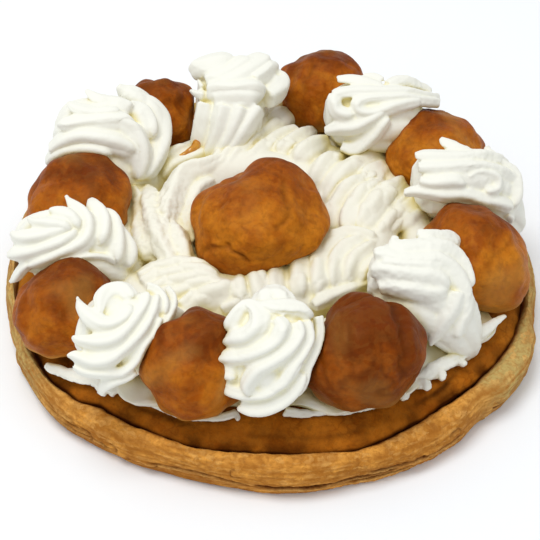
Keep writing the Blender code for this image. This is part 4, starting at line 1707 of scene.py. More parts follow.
@dataclass
class CreamRosette:
    """A rosette: a star rope of cream that swells, bends over and runs out into the bed.

    Its ridges lie on the smooth bulk of its solid, or on another bulk where one is given.
    """

    node: str
    start: tuple[float, float, float]
    heading: float
    pitch: tuple[float, float]
    length: float
    radius: float
    twist: float
    ridges: tuple[Trace, ...]
    heap: CreamHeap = field(default_factory=CreamHeap)
    laid_on: Bulk | None = None
    lobes: int = 10
    groove: float = 0.1
    front_share: float = 0.92
    side_share: float = 0.72
    cap_share: float = 0.85

    SHARES = (0.0, 0.03, 0.08, 0.15, 0.24, 0.38, 0.48, 0.58, 0.69, 0.80, 0.91, 1.0)
    GIRTHS = (0.10, 0.58, 0.88, 1.02, 1.04, 1.00, 0.94, 0.86, 0.75, 0.62, 0.48, 0.30)
    CURLS = (-70.0, -48.0, -26.0, -8.0, 0.0, 0.0, 0.0, 0.0, 0.0, 0.0, 0.0, 0.0)
    BULK_GIRTHS = (0.22, 0.62, 0.90, 1.04, 1.05, 1.0, 0.95, 0.87, 0.76, 0.63, 0.48, 0.34)
    BULK_SHARE = 0.93
    FRONT = np.array([0.0, -0.7, 0.7])

    def middle(self, share: np.ndarray, bulk: Bulk) -> np.ndarray:
        """Follow the middle of a rope that bends from one pitch to the other.

        Args:
            share: How far along the rope each place is.
            bulk: Where the rope starts and how long it is.

        Returns:
            The places.
        """
        pitch = np.radians(self.pitch[0] + (self.pitch[1] - self.pitch[0]) * share)
        turn = math.radians(self.heading)
        level = np.cos(pitch)
        way = np.stack([math.cos(turn) * level, math.sin(turn) * level, np.sin(pitch)], -1)
        step = np.diff(share, prepend=0.0)[:, None] * bulk.length
        return np.array(bulk.start) + np.cumsum(way * step, axis=0)

    def core(self) -> tuple[np.ndarray, Skin]:
        """Make the star rope itself, slimmer at the sides, where teeth stand out of it.

        Returns:
            The places along its middle, and its skin.
        """
        share = np.linspace(0.0, 1.0, 84) ** 1.25
        centres = self.middle(share, Bulk(self.start, self.length, self.radius))
        girth = np.interp(share, self.SHARES, self.GIRTHS)
        curl = np.interp(share, self.SHARES, self.CURLS)
        tilt = np.radians(self.twist * share + curl)[:, None]
        _, side, lift = carried_frames(centres)
        angle = np.linspace(0.0, math.tau, 130, endpoint=False)[None, :]
        ridge = np.abs(np.cos(0.5 * self.lobes * (angle - tilt))) ** 0.72
        ring = ring_ways(angle, side, lift)
        facing = ring @ self.FRONT
        size = self.radius * girth[:, None] * (1.0 - self.groove + self.groove * ridge)
        size = size * (1.0 + (self.side_share - 1.0) * ramp(facing, -0.7, -0.1))
        size = size * (1.0 + (self.front_share / self.side_share - 1.0) * ramp(facing, 0.2, 0.8))
        size = size * (self.cap_share + (1.0 - self.cap_share) * ramp(share, 0.06, 0.34))[:, None]
        return centres, closed_tube(centres[:, None, :] + size[..., None] * ring)

    def surface(self) -> Surface:
        """Round off the bulk that the ridges are laid on.

        Returns:
            Its smooth surface.
        """
        bulk = self.laid_on or Bulk(self.start, self.length, self.radius)
        share = np.linspace(0.0, 1.0, 120)
        girth = np.interp(share, self.SHARES, self.BULK_GIRTHS) * bulk.radius * self.BULK_SHARE
        return Surface(self.middle(share, bulk), girth)

    def build(self, finishes: Finishes) -> bpy.types.Object:
        """Make the piece.

        Args:
            finishes: The cake's finishes.

        Returns:
            The piece.
        """
        centres, body = self.core()
        surface = self.surface()
        routes = [surface.lay(ridge) for ridge in self.ridges]
        skin = self.heap.fuse([body, *(self.heap.strand(route, centres) for route in routes)])
        name = self.node.replace("cream_rosette", "piped_rosette")
        return place_piece(skin, name, self.node, finishes.rosette)


@dataclass(frozen=True)
class Rope:
    """A rope of cream round the centre puff, given as the solid has it."""

    reach: float
    height: float
    girth: float
    start: float
    end: float
    share: float

    CENTRE = (-2.0, -5.0)

    def ring(self, turn: np.ndarray, reach: float | np.ndarray) -> np.ndarray:
        """List places round the centre, at the rope's height.

        Args:
            turn: Angles in radians.
            reach: Distances from the centre, in millimetres.

        Returns:
            The places.
        """
        x, y = self.CENTRE
        heights = np.full_like(turn, self.height)
        return np.stack([x + reach * np.cos(turn), y + reach * np.sin(turn), heights], -1)

    def route(self) -> np.ndarray:
        """List the places and girths that the uneven rope passes.

        Returns:
            Rows of x, y, z and girth.
        """
        turn = np.radians(np.linspace(self.start, self.end, 44))
        places = self.ring(turn, self.reach + 2.0 * wave(turn, 6.0, (2, 3)))
        girth = self.share * (self.girth + wave(turn, 7.0, (3, 5)))
        return np.column_stack([places, girth])

    def bulk(self) -> np.ndarray:
        """List x, y, z and girth along the smooth rope."""
        turn = np.radians(np.linspace(self.start, self.end, 240))
        return np.column_stack([self.ring(turn, self.reach), np.full_like(turn, 0.9 * self.girth)])


@dataclass
class CreamFilling:
    """The cream between the pieces: a bed, two ropes, folds on them and spills on the choux.

    The bed's profile is turned round the cake, as rows of radius and height.  The folds' ends
    are sunk in the cream, but for the groups that are named as open-ended.
    """

    folds: Mapping[str, tuple[Trace, ...]]
    spills: tuple[tuple[float, Trace], ...]
    ropes: tuple[Rope, ...] = (
        Rope(41.0, 27.5, 15.5, -150.0, 214.0, 0.72),
        Rope(61.0, 27.0, 12.0, -40.0, 318.0, 0.70),
    )
    inner: Route = (
        (-24.0, -40.0, 29.0, 6.5), (-16.0, -42.0, 29.5, 7.0), (-6.0, -40.0, 29.5, 7.5),
        (6.0, -36.0, 29.5, 8.0), (18.0, -28.5, 29.5, 8.5), (28.0, -18.0, 29.5, 9.0),
        (34.0, -4.0, 29.5, 9.5), (37.0, 12.0, 29.5, 9.5),
    )
    inner_bulk: Route = (
        (-16.0, -43.0, 30.0, 9.0), (-6.0, -39.5, 30.5, 9.5), (6.0, -35.0, 30.5, 10.0),
        (18.0, -27.0, 30.5, 10.5), (29.0, -16.0, 30.0, 11.5), (36.0, -3.0, 30.0, 12.0),
        (39.0, 14.0, 30.0, 12.0),
    )
    level: float = 29.0
    buried: float = 2.2
    open_ended: tuple[str, ...] = ("front_edges", "low_bands", "ribbons")
    profile: tuple[tuple[float, float], ...] = (
        (0.5, 29.5), (32.0, 29.5), (51.2, 29.5), (64.0, 26.5), (77.35, 23.5), (90.0, 22.7),
        (91.5, 21.5), (91.0, 20.3),
    )
    floor: float = 20.3
    around: int = 420
    bed_spills: tuple[tuple[float, float, float], ...] = (
        (-127.0, 14.0, 9.0), (-146.0, 8.0, 6.0), (-30.0, 12.0, 8.0), (-55.0, 10.0, 5.0),
    )
    heap: CreamHeap = field(
        default_factory=lambda: CreamHeap(
            voxel=0.6, fill=4, sharp=0.24, rough=0.12, seed=21,
            torn=((-46.0, -8.0, 39.0, 24.0, 1.2), (46.0, 16.0, 38.0, 16.0, 0.25)),
        )
    )
    smear_heap: CreamHeap = field(
        default_factory=lambda: CreamHeap(voxel=0.4, fill=2, rough=0.35, seed=22)
    )

    def bed(self) -> Skin:
        """Make the low bed.

        Returns:
            Its skin.
        """
        outline = smooth_route(np.array(self.profile), 100)
        outline = np.vstack([outline, [(50.0, self.floor), (0.5, self.floor)]])
        angle, radius, height = turned(outline, self.around)
        shift = 2.5 * wave(angle, 8.0, (5, 9, 16, 23))
        for azimuth, spread, distance in self.bed_spills:
            shift = shift + distance * bell(np.degrees(angle), azimuth, spread)
        edge = ramp(radius, 72.0, 88.0)
        place = round_place(angle, radius, height)
        rough = 1.3 * lumps(place, 11.0, 81) + 0.6 * layered_lumps(place, 4.0, 82)
        upper = ramp(height, self.floor + 0.3, self.floor + 2.0)
        rings = round_place(angle, radius + (shift + 0.8 * rough) * edge, height + upper * rough)
        # the bed's low places take the groove share, which the cream finish paints light by
        return closed_tube(rings, {"groove": np.clip(-0.5 * rough, 0.0, 1.0)})

    def surface(self) -> Surface:
        """Round off the ropes that the folds are laid on.

        Returns:
            Their smooth surface.
        """
        rows = np.array(self.inner_bulk)
        share = np.linspace(0.0, len(rows) - 1.0, 160)
        inner = [np.interp(share, np.arange(len(rows)), column) for column in rows.T]
        bulk = np.vstack([rope.bulk() for rope in self.ropes] + [np.stack(inner, -1)])
        return Surface(bulk[:, :3], bulk[:, 3], self.level, sink=0.7, widen=1.32)

    def fold_skins(self) -> list[Skin]:
        """Make the ropes and the folds on them.

        Returns:
            Their overlapping skins.
        """
        routes = [rope.route() for rope in self.ropes]
        core = np.vstack(routes)[:, :3]
        skins = [self.heap.strand(route, core, 0.0, 60) for route in [*routes, self.inner]]
        surface = self.surface()
        for name, traces in self.folds.items():
            bury = 0.0 if name in self.open_ended else self.buried
            skins += [self.heap.strand(surface.lay(trace, bury), core) for trace in traces]
        return skins

    def smear_skins(self) -> list[Skin]:
        """Make the smears and drops of cream on the choux layer.

        Returns:
            Their overlapping skins.
        """
        below = np.array([(0.0, 0.0, 10.0)])
        skins = []
        for level, trace in self.spills:
            route = Surface(level=level, sink=0.3, smooth=False).lay(trace)
            skins.append(self.smear_heap.strand(route, below))
        return skins

    def build(self, finishes: Finishes) -> None:
        """Make the pieces.

        Args:
            finishes: The cake's finishes.
        """
        node = "cream_filling"
        place_piece(self.bed(), "cream_bed", node, finishes.centre)
        folds = self.heap.fuse(self.fold_skins())
        place_piece(folds, "cream_folds", node, finishes.centre)
        smears = self.smear_heap.fuse(self.smear_skins())
        place_piece(smears, "cream_spills", node, finishes.rosette)


@dataclass
class CaramelDrip:
    """A thin run of caramel between the cream and a puff."""

    name: str = "caramel_run"
    route: Route = (
        (-34.0, 61.0, 33.0, 1.4), (-33.5, 50.0, 38.5, 1.8), (-34.5, 42.0, 39.5, 1.8),
        (-42.0, 36.0, 38.0, 0.8),
    )
    below: tuple[float, float, float] = (0.0, 0.0, 10.0)

    def build(self, finishes: Finishes) -> bpy.types.Object:
        """Make the piece.

        Args:
            finishes: The cake's finishes.

        Returns:
            The piece.
        """
        heap = CreamHeap(voxel=0.4, soften=1, fill=0, flatten=0.0, rough=0.3, seed=91)
        skin = heap.fuse([heap.strand(self.route, np.array([self.below]), 0.0)])
        skin.points = skin.points * MM
        piece = skin.as_object(self.name, finishes.caramel)
        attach(piece, BODY)
        LOG.info("%s lies in the cream", self.name)
        return piece


# The viewpoint from which the lines in the cream were followed, and the lines: rows of
# how far across and how far down the picture they pass, with their half width there and, in
# some rows, how many millimetres nearer than the smooth cream they lie
FOLLOWED_FROM = Viewpoint((-0.0006415, -0.0133913, 0.02), 44.67418, 0.5650595, 0.851143, 90.10946)
RIDGES_1: tuple[Trace, ...] = (
    ((118, 86, 2.5), (126, 94, 8), (138, 103, 10), (149, 113, 9)),
    ((86, 85, 2, 2), (95, 94, 6, 2), (107, 102, 8.5), (119, 107, 9), (131, 112, 8)),
    ((67, 98, 2, 2), (77, 106, 6.5, 2), (92, 112, 9), (106, 113, 9), (119, 115, 8)),
    ((57, 125, 2, 2), (68, 124, 7, 2), (86, 123, 10), (104, 122, 11), (120, 123, 10), (133, 126, 7)),
    ((53, 149, 6), (67, 141, 10), (84, 137, 11), (104, 140, 11), (122, 146, 10), (136, 153, 8)),
    ((50, 161, 5), (60, 153, 8), (74, 149, 9), (94, 149, 9), (112, 154, 8)),
    ((138, 100, 6), (149, 110, 10), (156, 125, 12), (157, 143, 12), (152, 162, 10), (144, 178, 7)),
    ((128, 106, 6), (138, 114, 10), (146, 126, 10), (149, 141, 9)),
    ((120, 124, 8), (132, 134, 10), (140, 150, 11), (141, 166, 10), (136, 180, 6)),
)
RIDGES_2: tuple[Trace, ...] = (
    ((66, 196, 1.2), (70, 202, 3), (76, 209, 6), (83, 217, 8), (88, 228, 9), (85, 240, 9), (75, 247, 8.5),
     (60, 253, 8), (44, 259, 6.5), (28, 265, 4)),
    ((90, 199, 3), (94, 208, 7), (100, 219, 9.5), (102, 232, 10), (99, 247, 9)),
    ((101, 212, 5), (109, 222, 9), (114, 235, 10.5), (115, 250, 10.5), (113, 265, 8)),
    ((116, 227, 5), (123, 240, 8), (127, 254, 9), (126, 268, 7)),
    ((49, 210, 1.5), (56, 212, 5), (66, 216, 8), (75, 224, 9), (79, 233, 8)),
    ((28, 217, 1.2), (35, 222, 4.5), (48, 226, 8), (62, 229, 9), (72, 233, 8)),
    ((11, 233, 2.5), (21, 238, 7), (38, 238, 9), (56, 234, 8), (70, 229, 6)),
    ((8, 256, 3.5), (19, 253, 7.5), (38, 250, 9), (56, 245, 9), (70, 239, 8), (78, 230, 6)),
    ((10, 282, 1.2), (17, 277, 4.5), (22, 269, 5), (30, 262, 5)),
    ((62, 259, 1.5), (78, 257, 3), (92, 256, 3), (106, 258, 3), (116, 262, 3)),
)
RIDGES_3: tuple[Trace, ...] = (
    ((100, 312, 3), (101, 300, 7), (110, 290, 8), (124, 290, 8), (134, 300, 7)),
    ((77, 297, 1.2), (82, 308, 5), (92, 319, 8), (107, 326, 9), (122, 320, 8), (131, 306, 7)),
    ((72, 337, 1.5), (80, 341, 5), (96, 343, 8), (114, 339, 8.5), (131, 325, 8), (142, 308, 7),
     (146, 295, 6)),
    ((68, 355, 1.5), (76, 357, 5), (92, 361, 7.5), (110, 357, 8), (127, 345, 7.5), (143, 328, 7),
     (153, 311, 6.5), (157, 297, 5)),
    ((73, 367, 3), (84, 371, 5), (102, 372, 6), (120, 372, 5), (134, 362, 5), (142, 346, 5), (152, 334, 5),
     (160, 318, 5)),
    ((101, 396, 1.5), (103, 387, 5), (112, 380, 7), (126, 377, 5), (136, 370, 4)),
    ((168, 288, 3), (173, 302, 4.5), (168, 318, 4.5), (160, 330, 4), (150, 342, 4)),
    ((148, 288, 5), (158, 293, 5), (164, 304, 5), (164, 316, 4)),
)
RIDGES_4: tuple[Trace, ...] = (
    ((252, 300, 3), (243, 308, 6), (236, 320, 8), (230, 332, 7)),
    ((246, 303, 5), (258, 310, 8), (260, 324, 10), (250, 336, 10), (236, 340, 9), (226, 343, 6)),
    ((262, 304, 5), (276, 306, 8), (290, 308, 9), (302, 312, 7), (310, 318, 5)),
    ((278, 318, 5), (282, 328, 8), (276, 340, 8), (262, 350, 8), (244, 356, 8), (227, 358, 7, 2),
     (217, 362, 5, 4)),
    ((297, 322, 5), (298, 334, 7), (288, 348, 8), (273, 360, 8), (258, 370, 9), (250, 384, 8),
     (252, 394, 5)),
    ((216, 364, 5, 4), (219, 378, 6, 4), (230, 388, 7, 2), (246, 393, 6), (264, 394, 5), (280, 386, 5),
     (292, 372, 5), (300, 360, 5)),
    ((224, 371, 8, 3), (238, 376, 7)),
    ((307, 322, 4), (309, 338, 5), (302, 352, 6), (292, 366, 6), (284, 380, 6), (272, 390, 5)),
    ((317, 318, 5), (319, 334, 5), (314, 350, 5), (308, 366, 5), (303, 382, 5), (294, 394, 5)),
    ((242, 404, 7), (256, 408, 8), (272, 405, 8), (286, 397, 7), (297, 385, 6), (303, 372, 5)),
)
RIDGES_5: tuple[Trace, ...] = (
    ((417, 231, 2), (424, 236, 7), (436, 241, 10), (448, 243, 10), (458, 251, 8)),
    ((396, 234, 2.5), (394, 241, 5), (402, 247, 8), (416, 249, 10), (434, 250, 11), (447, 253, 10),
     (458, 262, 9), (465, 273, 8), (469, 288, 7)),
    ((375, 256, 5), (386, 256, 9), (400, 260, 11), (420, 262, 12), (438, 264, 11), (452, 273, 10),
     (461, 287, 9), (464, 301, 8), (463, 316, 7)),
    ((371, 269, 6), (383, 270, 10), (398, 273, 12), (416, 276, 12), (434, 279, 12), (448, 289, 10)),
    ((380, 287, 6), (390, 286, 9), (404, 287, 10), (419, 290, 10), (434, 292, 9), (446, 290, 8)),
    ((384, 263, 8), (400, 265, 10), (420, 268, 10), (440, 272, 10)),
    ((456, 292, 9), (452, 306, 9), (444, 320, 8), (437, 333, 5), (430, 346, 2)),
    ((468, 296, 7), (464, 312, 8), (459, 326, 7), (456, 338, 6)),
)
RIDGES_6: tuple[Trace, ...] = (
    ((441, 137, 2.5), (448, 143, 6), (459, 148, 6), (470, 152, 5)),
    ((486, 146, 2), (488, 152, 4.5), (493, 159, 6)),
    ((415, 154, 4), (426, 154, 6.5), (442, 155, 7), (460, 156, 7), (476, 157, 7), (492, 161, 7),
     (506, 168, 6)),
    ((418, 167, 5), (432, 167, 7), (450, 167, 7.5), (468, 167, 7), (484, 169, 7), (501, 174, 7),
     (514, 182, 5)),
    ((419, 182, 5), (432, 183, 8), (450, 183, 9), (466, 184, 7)),
    ((468, 178, 3), (476, 173, 4.5), (488, 174, 5), (497, 181, 5.5), (495, 189, 5), (484, 192, 5)),
    ((500, 165, 6), (509, 174, 7.5), (514, 186, 7.5), (515, 197, 7), (511, 207, 5)),
    ((404, 193, 3.5), (414, 191, 5), (428, 193, 6), (446, 195, 7), (464, 195, 7), (480, 200, 7),
     (498, 204, 7), (511, 207, 6)),
    ((507, 214, 3), (511, 218, 3), (511, 224, 1.5)),
)
RIDGES_7: tuple[Trace, ...] = (
    ((338, 77, 4), (348, 77, 6), (361, 78, 6), (374, 82, 5), (383, 85, 4)),
    ((364, 74, 3.5), (374, 75, 5), (383, 80, 4.5)),
    ((388, 83, 4), (398, 81, 6), (410, 85, 5.5), (420, 88, 4.5), (430, 94, 4)),
    ((335, 95, 5), (343, 92, 7), (356, 90, 7), (373, 90, 7), (390, 91, 6.5), (408, 94, 6), (425, 97, 5),
     (438, 98, 4)),
    ((437, 103, 4.5), (424, 102, 5), (406, 99, 5.5), (388, 98, 5.5), (371, 98, 5.5), (359, 101, 5.5),
     (356, 108, 5.5), (361, 113, 6), (374, 113, 6), (390, 108, 6), (406, 104, 5.5), (420, 102, 4)),
    ((336, 94, 5), (334, 102, 6.5), (337, 111, 7), (346, 115, 7), (355, 114, 5)),
    ((326, 131, 4), (338, 128, 7), (355, 126, 7.5), (370, 120, 7), (384, 112, 5)),
    ((341, 146, 4.5), (353, 148, 6.5), (364, 143, 7), (374, 134, 7), (382, 125, 6), (389, 117, 4.5)),
)
RIDGES_8: tuple[Trace, ...] = (
    ((193, 73, 7), (202, 69, 11), (213, 66, 13), (225, 61, 12), (235, 59, 8)),
    ((206, 81, 6), (218, 78, 9), (230, 72, 10), (241, 65, 10), (250, 59, 8)),
    ((224, 85, 8), (238, 78, 11), (249, 70, 12), (259, 64, 11), (266, 62, 7)),
    ((250, 82, 10), (262, 74, 12), (272, 68, 9)),
    ((266, 98, 9), (274, 90, 12), (275, 80, 11), (271, 72, 7)),
    ((208, 92, 8), (222, 92, 12), (240, 92, 13), (256, 92, 12), (263, 93, 9)),
    ((214, 99, 7), (228, 100, 10), (246, 101, 11), (257, 101, 9)),
    ((191, 90, 1.5), (198, 94, 3.5), (207, 96, 6)),
    ((198, 80, 1.5), (200, 84, 2.5), (203, 88, 3)),
    ((206, 103, 8), (204, 118, 9), (202, 133, 9), (199, 150, 8), (195, 164, 5)),
    ((225, 106, 9), (222, 120, 9.5), (218, 135, 9), (212, 152, 8), (205, 167, 5)),
    ((241, 108, 9), (236, 122, 9.5), (230, 137, 9), (222, 152, 8), (213, 167, 5)),
    ((256, 108, 9), (249, 120, 9.5), (242, 133, 9), (233, 147, 8), (223, 161, 5)),
)
FOLDS: dict[str, tuple[Trace, ...]] = {
    "back_ribs": (
        ((284, 121, 3), (273, 123, 6), (260, 132, 7, 2), (248, 144, 7, 2), (238, 156, 6), (228, 168, 4)),
        ((297, 130, 4), (284, 136, 6), (270, 145, 6.5), (257, 155, 6), (247, 163, 4)),
        ((314, 131, 3), (304, 137, 6), (290, 146, 7), (277, 154, 6)),
        ((258, 118, 5, 6), (248, 130, 6.5, 5), (239, 143, 6.5, 3), (229, 156, 6), (219, 168, 4)),
        ((240, 124, 5, 7), (234, 136, 6, 5), (226, 149, 6, 2), (217, 161, 5), (210, 171, 4)),
        ((305, 107, 3), (297, 113, 6), (286, 119, 8), (275, 128, 8), (263, 137, 6), (253, 144, 4)),
        ((284, 104, 3), (275, 110, 6), (265, 118, 7), (255, 127, 6), (246, 136, 4)),
    ),
    "back_slabs": (
        ((326, 142, 5), (314, 149, 9), (303, 158, 9), (295, 167, 6)),
    ),
    "right_slabs": (
        ((349, 151, 4), (341, 158, 5), (333, 161, 7), (324, 168, 8), (317, 178, 7), (313, 190, 5)),
        ((391, 147, 5), (383, 154, 7), (373, 163, 9), (359, 170, 10), (344, 178, 10), (332, 190, 9),
         (325, 204, 6), (322, 214, 4)),
        ((391, 165, 5), (382, 172, 7), (371, 180, 9), (358, 188, 7), (348, 197, 5)),
        ((370, 178, 4), (361, 184, 6), (350, 191, 8), (341, 203, 8), (335, 217, 8), (332, 234, 5)),
        ((382, 182, 4), (373, 188, 5.5), (362, 197, 7.5), (354, 209, 7.5), (349, 221, 7), (346, 233, 4)),
        ((401, 183, 5), (393, 190, 8), (383, 199, 11), (373, 211, 11), (364, 224, 9), (357, 235, 5)),
        ((413, 196, 4), (405, 203, 6), (395, 213, 8), (386, 224, 8), (376, 238, 5)),
        ((438, 197, 4), (431, 201, 6), (418, 206, 7), (406, 214, 7), (396, 224, 6), (388, 234, 4)),
        ((431, 211, 4), (422, 215, 6), (411, 221, 6), (400, 229, 5)),
    ),
    "front_folds": (
        ((247, 273, 4), (240, 281, 5), (239, 289, 7.5), (242, 299, 7.5), (248, 307, 6)),
        ((266, 268, 5), (258, 277, 8), (257, 286, 10), (260, 297, 9), (266, 306, 6)),
        ((289, 258, 4), (279, 267, 6), (275, 276, 7.5), (274, 287, 7.5), (277, 298, 6), (281, 305, 4)),
        ((317, 248, 4), (308, 256, 6), (301, 265, 8.5), (299, 277, 9), (299, 290, 8), (302, 299, 5)),
        ((351, 231, 4), (342, 238, 6), (331, 245, 8), (322, 257, 9), (318, 270, 9), (317, 284, 8.5),
         (314, 298, 6)),
        ((364, 238, 4), (356, 244, 5.5), (345, 252, 7), (336, 263, 7), (332, 276, 6.5), (333, 290, 5)),
        ((374, 245, 4), (366, 250, 5.5), (355, 259, 7), (348, 271, 7), (346, 286, 5)),
        ((378, 256, 4), (371, 263, 6), (363, 273, 6), (357, 283, 4)),
    ),
    "front_edges": (
        ((332, 238, 4), (347, 236, 6), (362, 237, 6), (377, 241, 5)),
        ((314, 307, 4), (326, 299, 6), (340, 293, 4.5), (356, 287, 3.2), (374, 280, 2)),
    ),
    "front_base": (
        ((226, 280, 5, -2), (240, 280, 5, -2), (256, 275, 5, -2), (272, 268, 5, -2), (290, 261, 5, -2),
         (306, 253, 5, -2)),
    ),
    "low_bands": (
        ((180, 308, 5), (198, 301, 9), (218, 295, 11), (238, 291, 9)),
        ((222, 309, 4), (236, 304, 5), (248, 300, 4)),
    ),
    "ribbons": (
        ((138, 279, 5), (158, 272, 8), (180, 268, 8), (202, 270, 7), (218, 275, 4)),
        ((142, 286, 6), (162, 280, 8.5), (183, 275, 8.5), (204, 276, 8), (220, 280, 4)),
        ((148, 293, 6), (168, 287, 8.5), (188, 282, 8.5), (208, 281, 8), (222, 284, 4)),
        ((156, 300, 5), (174, 295, 8), (194, 289, 8), (212, 286, 7), (226, 288, 4)),
    ),
    "inner_leaves": (
        ((222, 161, 5), (204, 168, 7), (188, 175, 8.5), (178, 187, 9), (172, 200, 9), (168, 214, 8.5),
         (166, 229, 6)),
        ((211, 182, 4), (200, 189, 5), (193, 199, 5), (188, 213, 5), (187, 228, 5), (191, 244, 4)),
        ((213, 151, 5), (197, 156, 7), (182, 162, 7), (169, 169, 7), (161, 178, 6)),
    ),
    "left_lobes": (
        ((147, 190, 4), (151, 201, 7), (154, 214, 8.5), (157, 228, 9), (163, 243, 9), (170, 258, 7),
         (176, 268, 4)),
        ((134, 188, 3), (138, 200, 5), (141, 214, 7), (144, 230, 8), (147, 246, 8), (151, 262, 6)),
        ((170, 226, 4), (177, 238, 7), (183, 250, 7), (189, 263, 5)),
    ),
    "back_leaf": (
        ((189, 150, 4), (178, 152, 5), (168, 158, 5), (160, 166, 5)),
    ),
}
# Smears and drops on the choux layer: the height in millimetres that each lies at, and its line
SPILLS: tuple[tuple[float, Trace], ...] = (
    (21.5, ((60, 371, 4), (72, 374, 5), (86, 378, 5), (99, 382, 5), (112, 388, 5.5), (124, 386, 5))),
    (21.5, ((46, 365, 2.5), (53, 368, 4.5), (63, 372, 5), (75, 377, 5))),
    (21.0, ((56, 374, 1.2), (66, 377, 2.2), (78, 381, 2.4), (92, 383, 2.2))),
    (21.0, ((100, 384, 4), (103, 391, 4), (105, 396, 1.6))),
    (21.0, ((112, 386, 5), (113, 392, 3.5), (112, 397, 1.4))),
    (21.0, ((126, 384, 5), (134, 391, 5), (141, 398, 4), (147, 404, 2.4))),
    (21.0, ((132, 384, 4), (138, 393, 3), (143, 402, 1.6))),
    (20.9, ((152, 404, 2), (163, 410, 1.8), (176, 415, 1.8), (190, 418, 1.8), (203, 418, 2.4),
           (215, 418, 3), (226, 416, 3.6), (238, 412, 4))),
    (20.9, ((232, 412, 4), (238, 416, 3), (238, 421, 1.4))),
    (20.9, ((286, 411, 5), (300, 413, 4), (316, 413, 3), (330, 411, 2.4), (345, 412, 2), (360, 410, 2.2),
           (374, 406, 2.6), (386, 401, 3), (396, 396, 3.4))),
    (21.4, ((388, 392, 4), (400, 388, 5), (412, 383, 5), (424, 376, 6), (436, 368, 6), (446, 362, 5))),
    (21.0, ((398, 388, 6), (403, 393, 5), (403, 400, 2.6))),
    (21.2, ((418, 381, 6), (425, 385, 5), (428, 391, 2.6))),
    (22.0, ((430, 370, 5), (444, 364, 6), (456, 356, 6), (466, 348, 6), (474, 341, 5))),
    (21.2, ((434, 372, 6), (441, 375, 4.5), (443, 381, 2.4))),
    (21.6, ((452, 359, 6), (460, 361, 4.5), (465, 366, 2.2))),
    (23.0, ((448, 350, 6), (462, 344, 6), (474, 338, 6), (484, 332, 4.5), (491, 327, 3))),
    (25.5, ((462, 342, 6), (476, 334, 6), (488, 327, 5), (497, 321, 3.4), (506, 315, 1.2))),
)


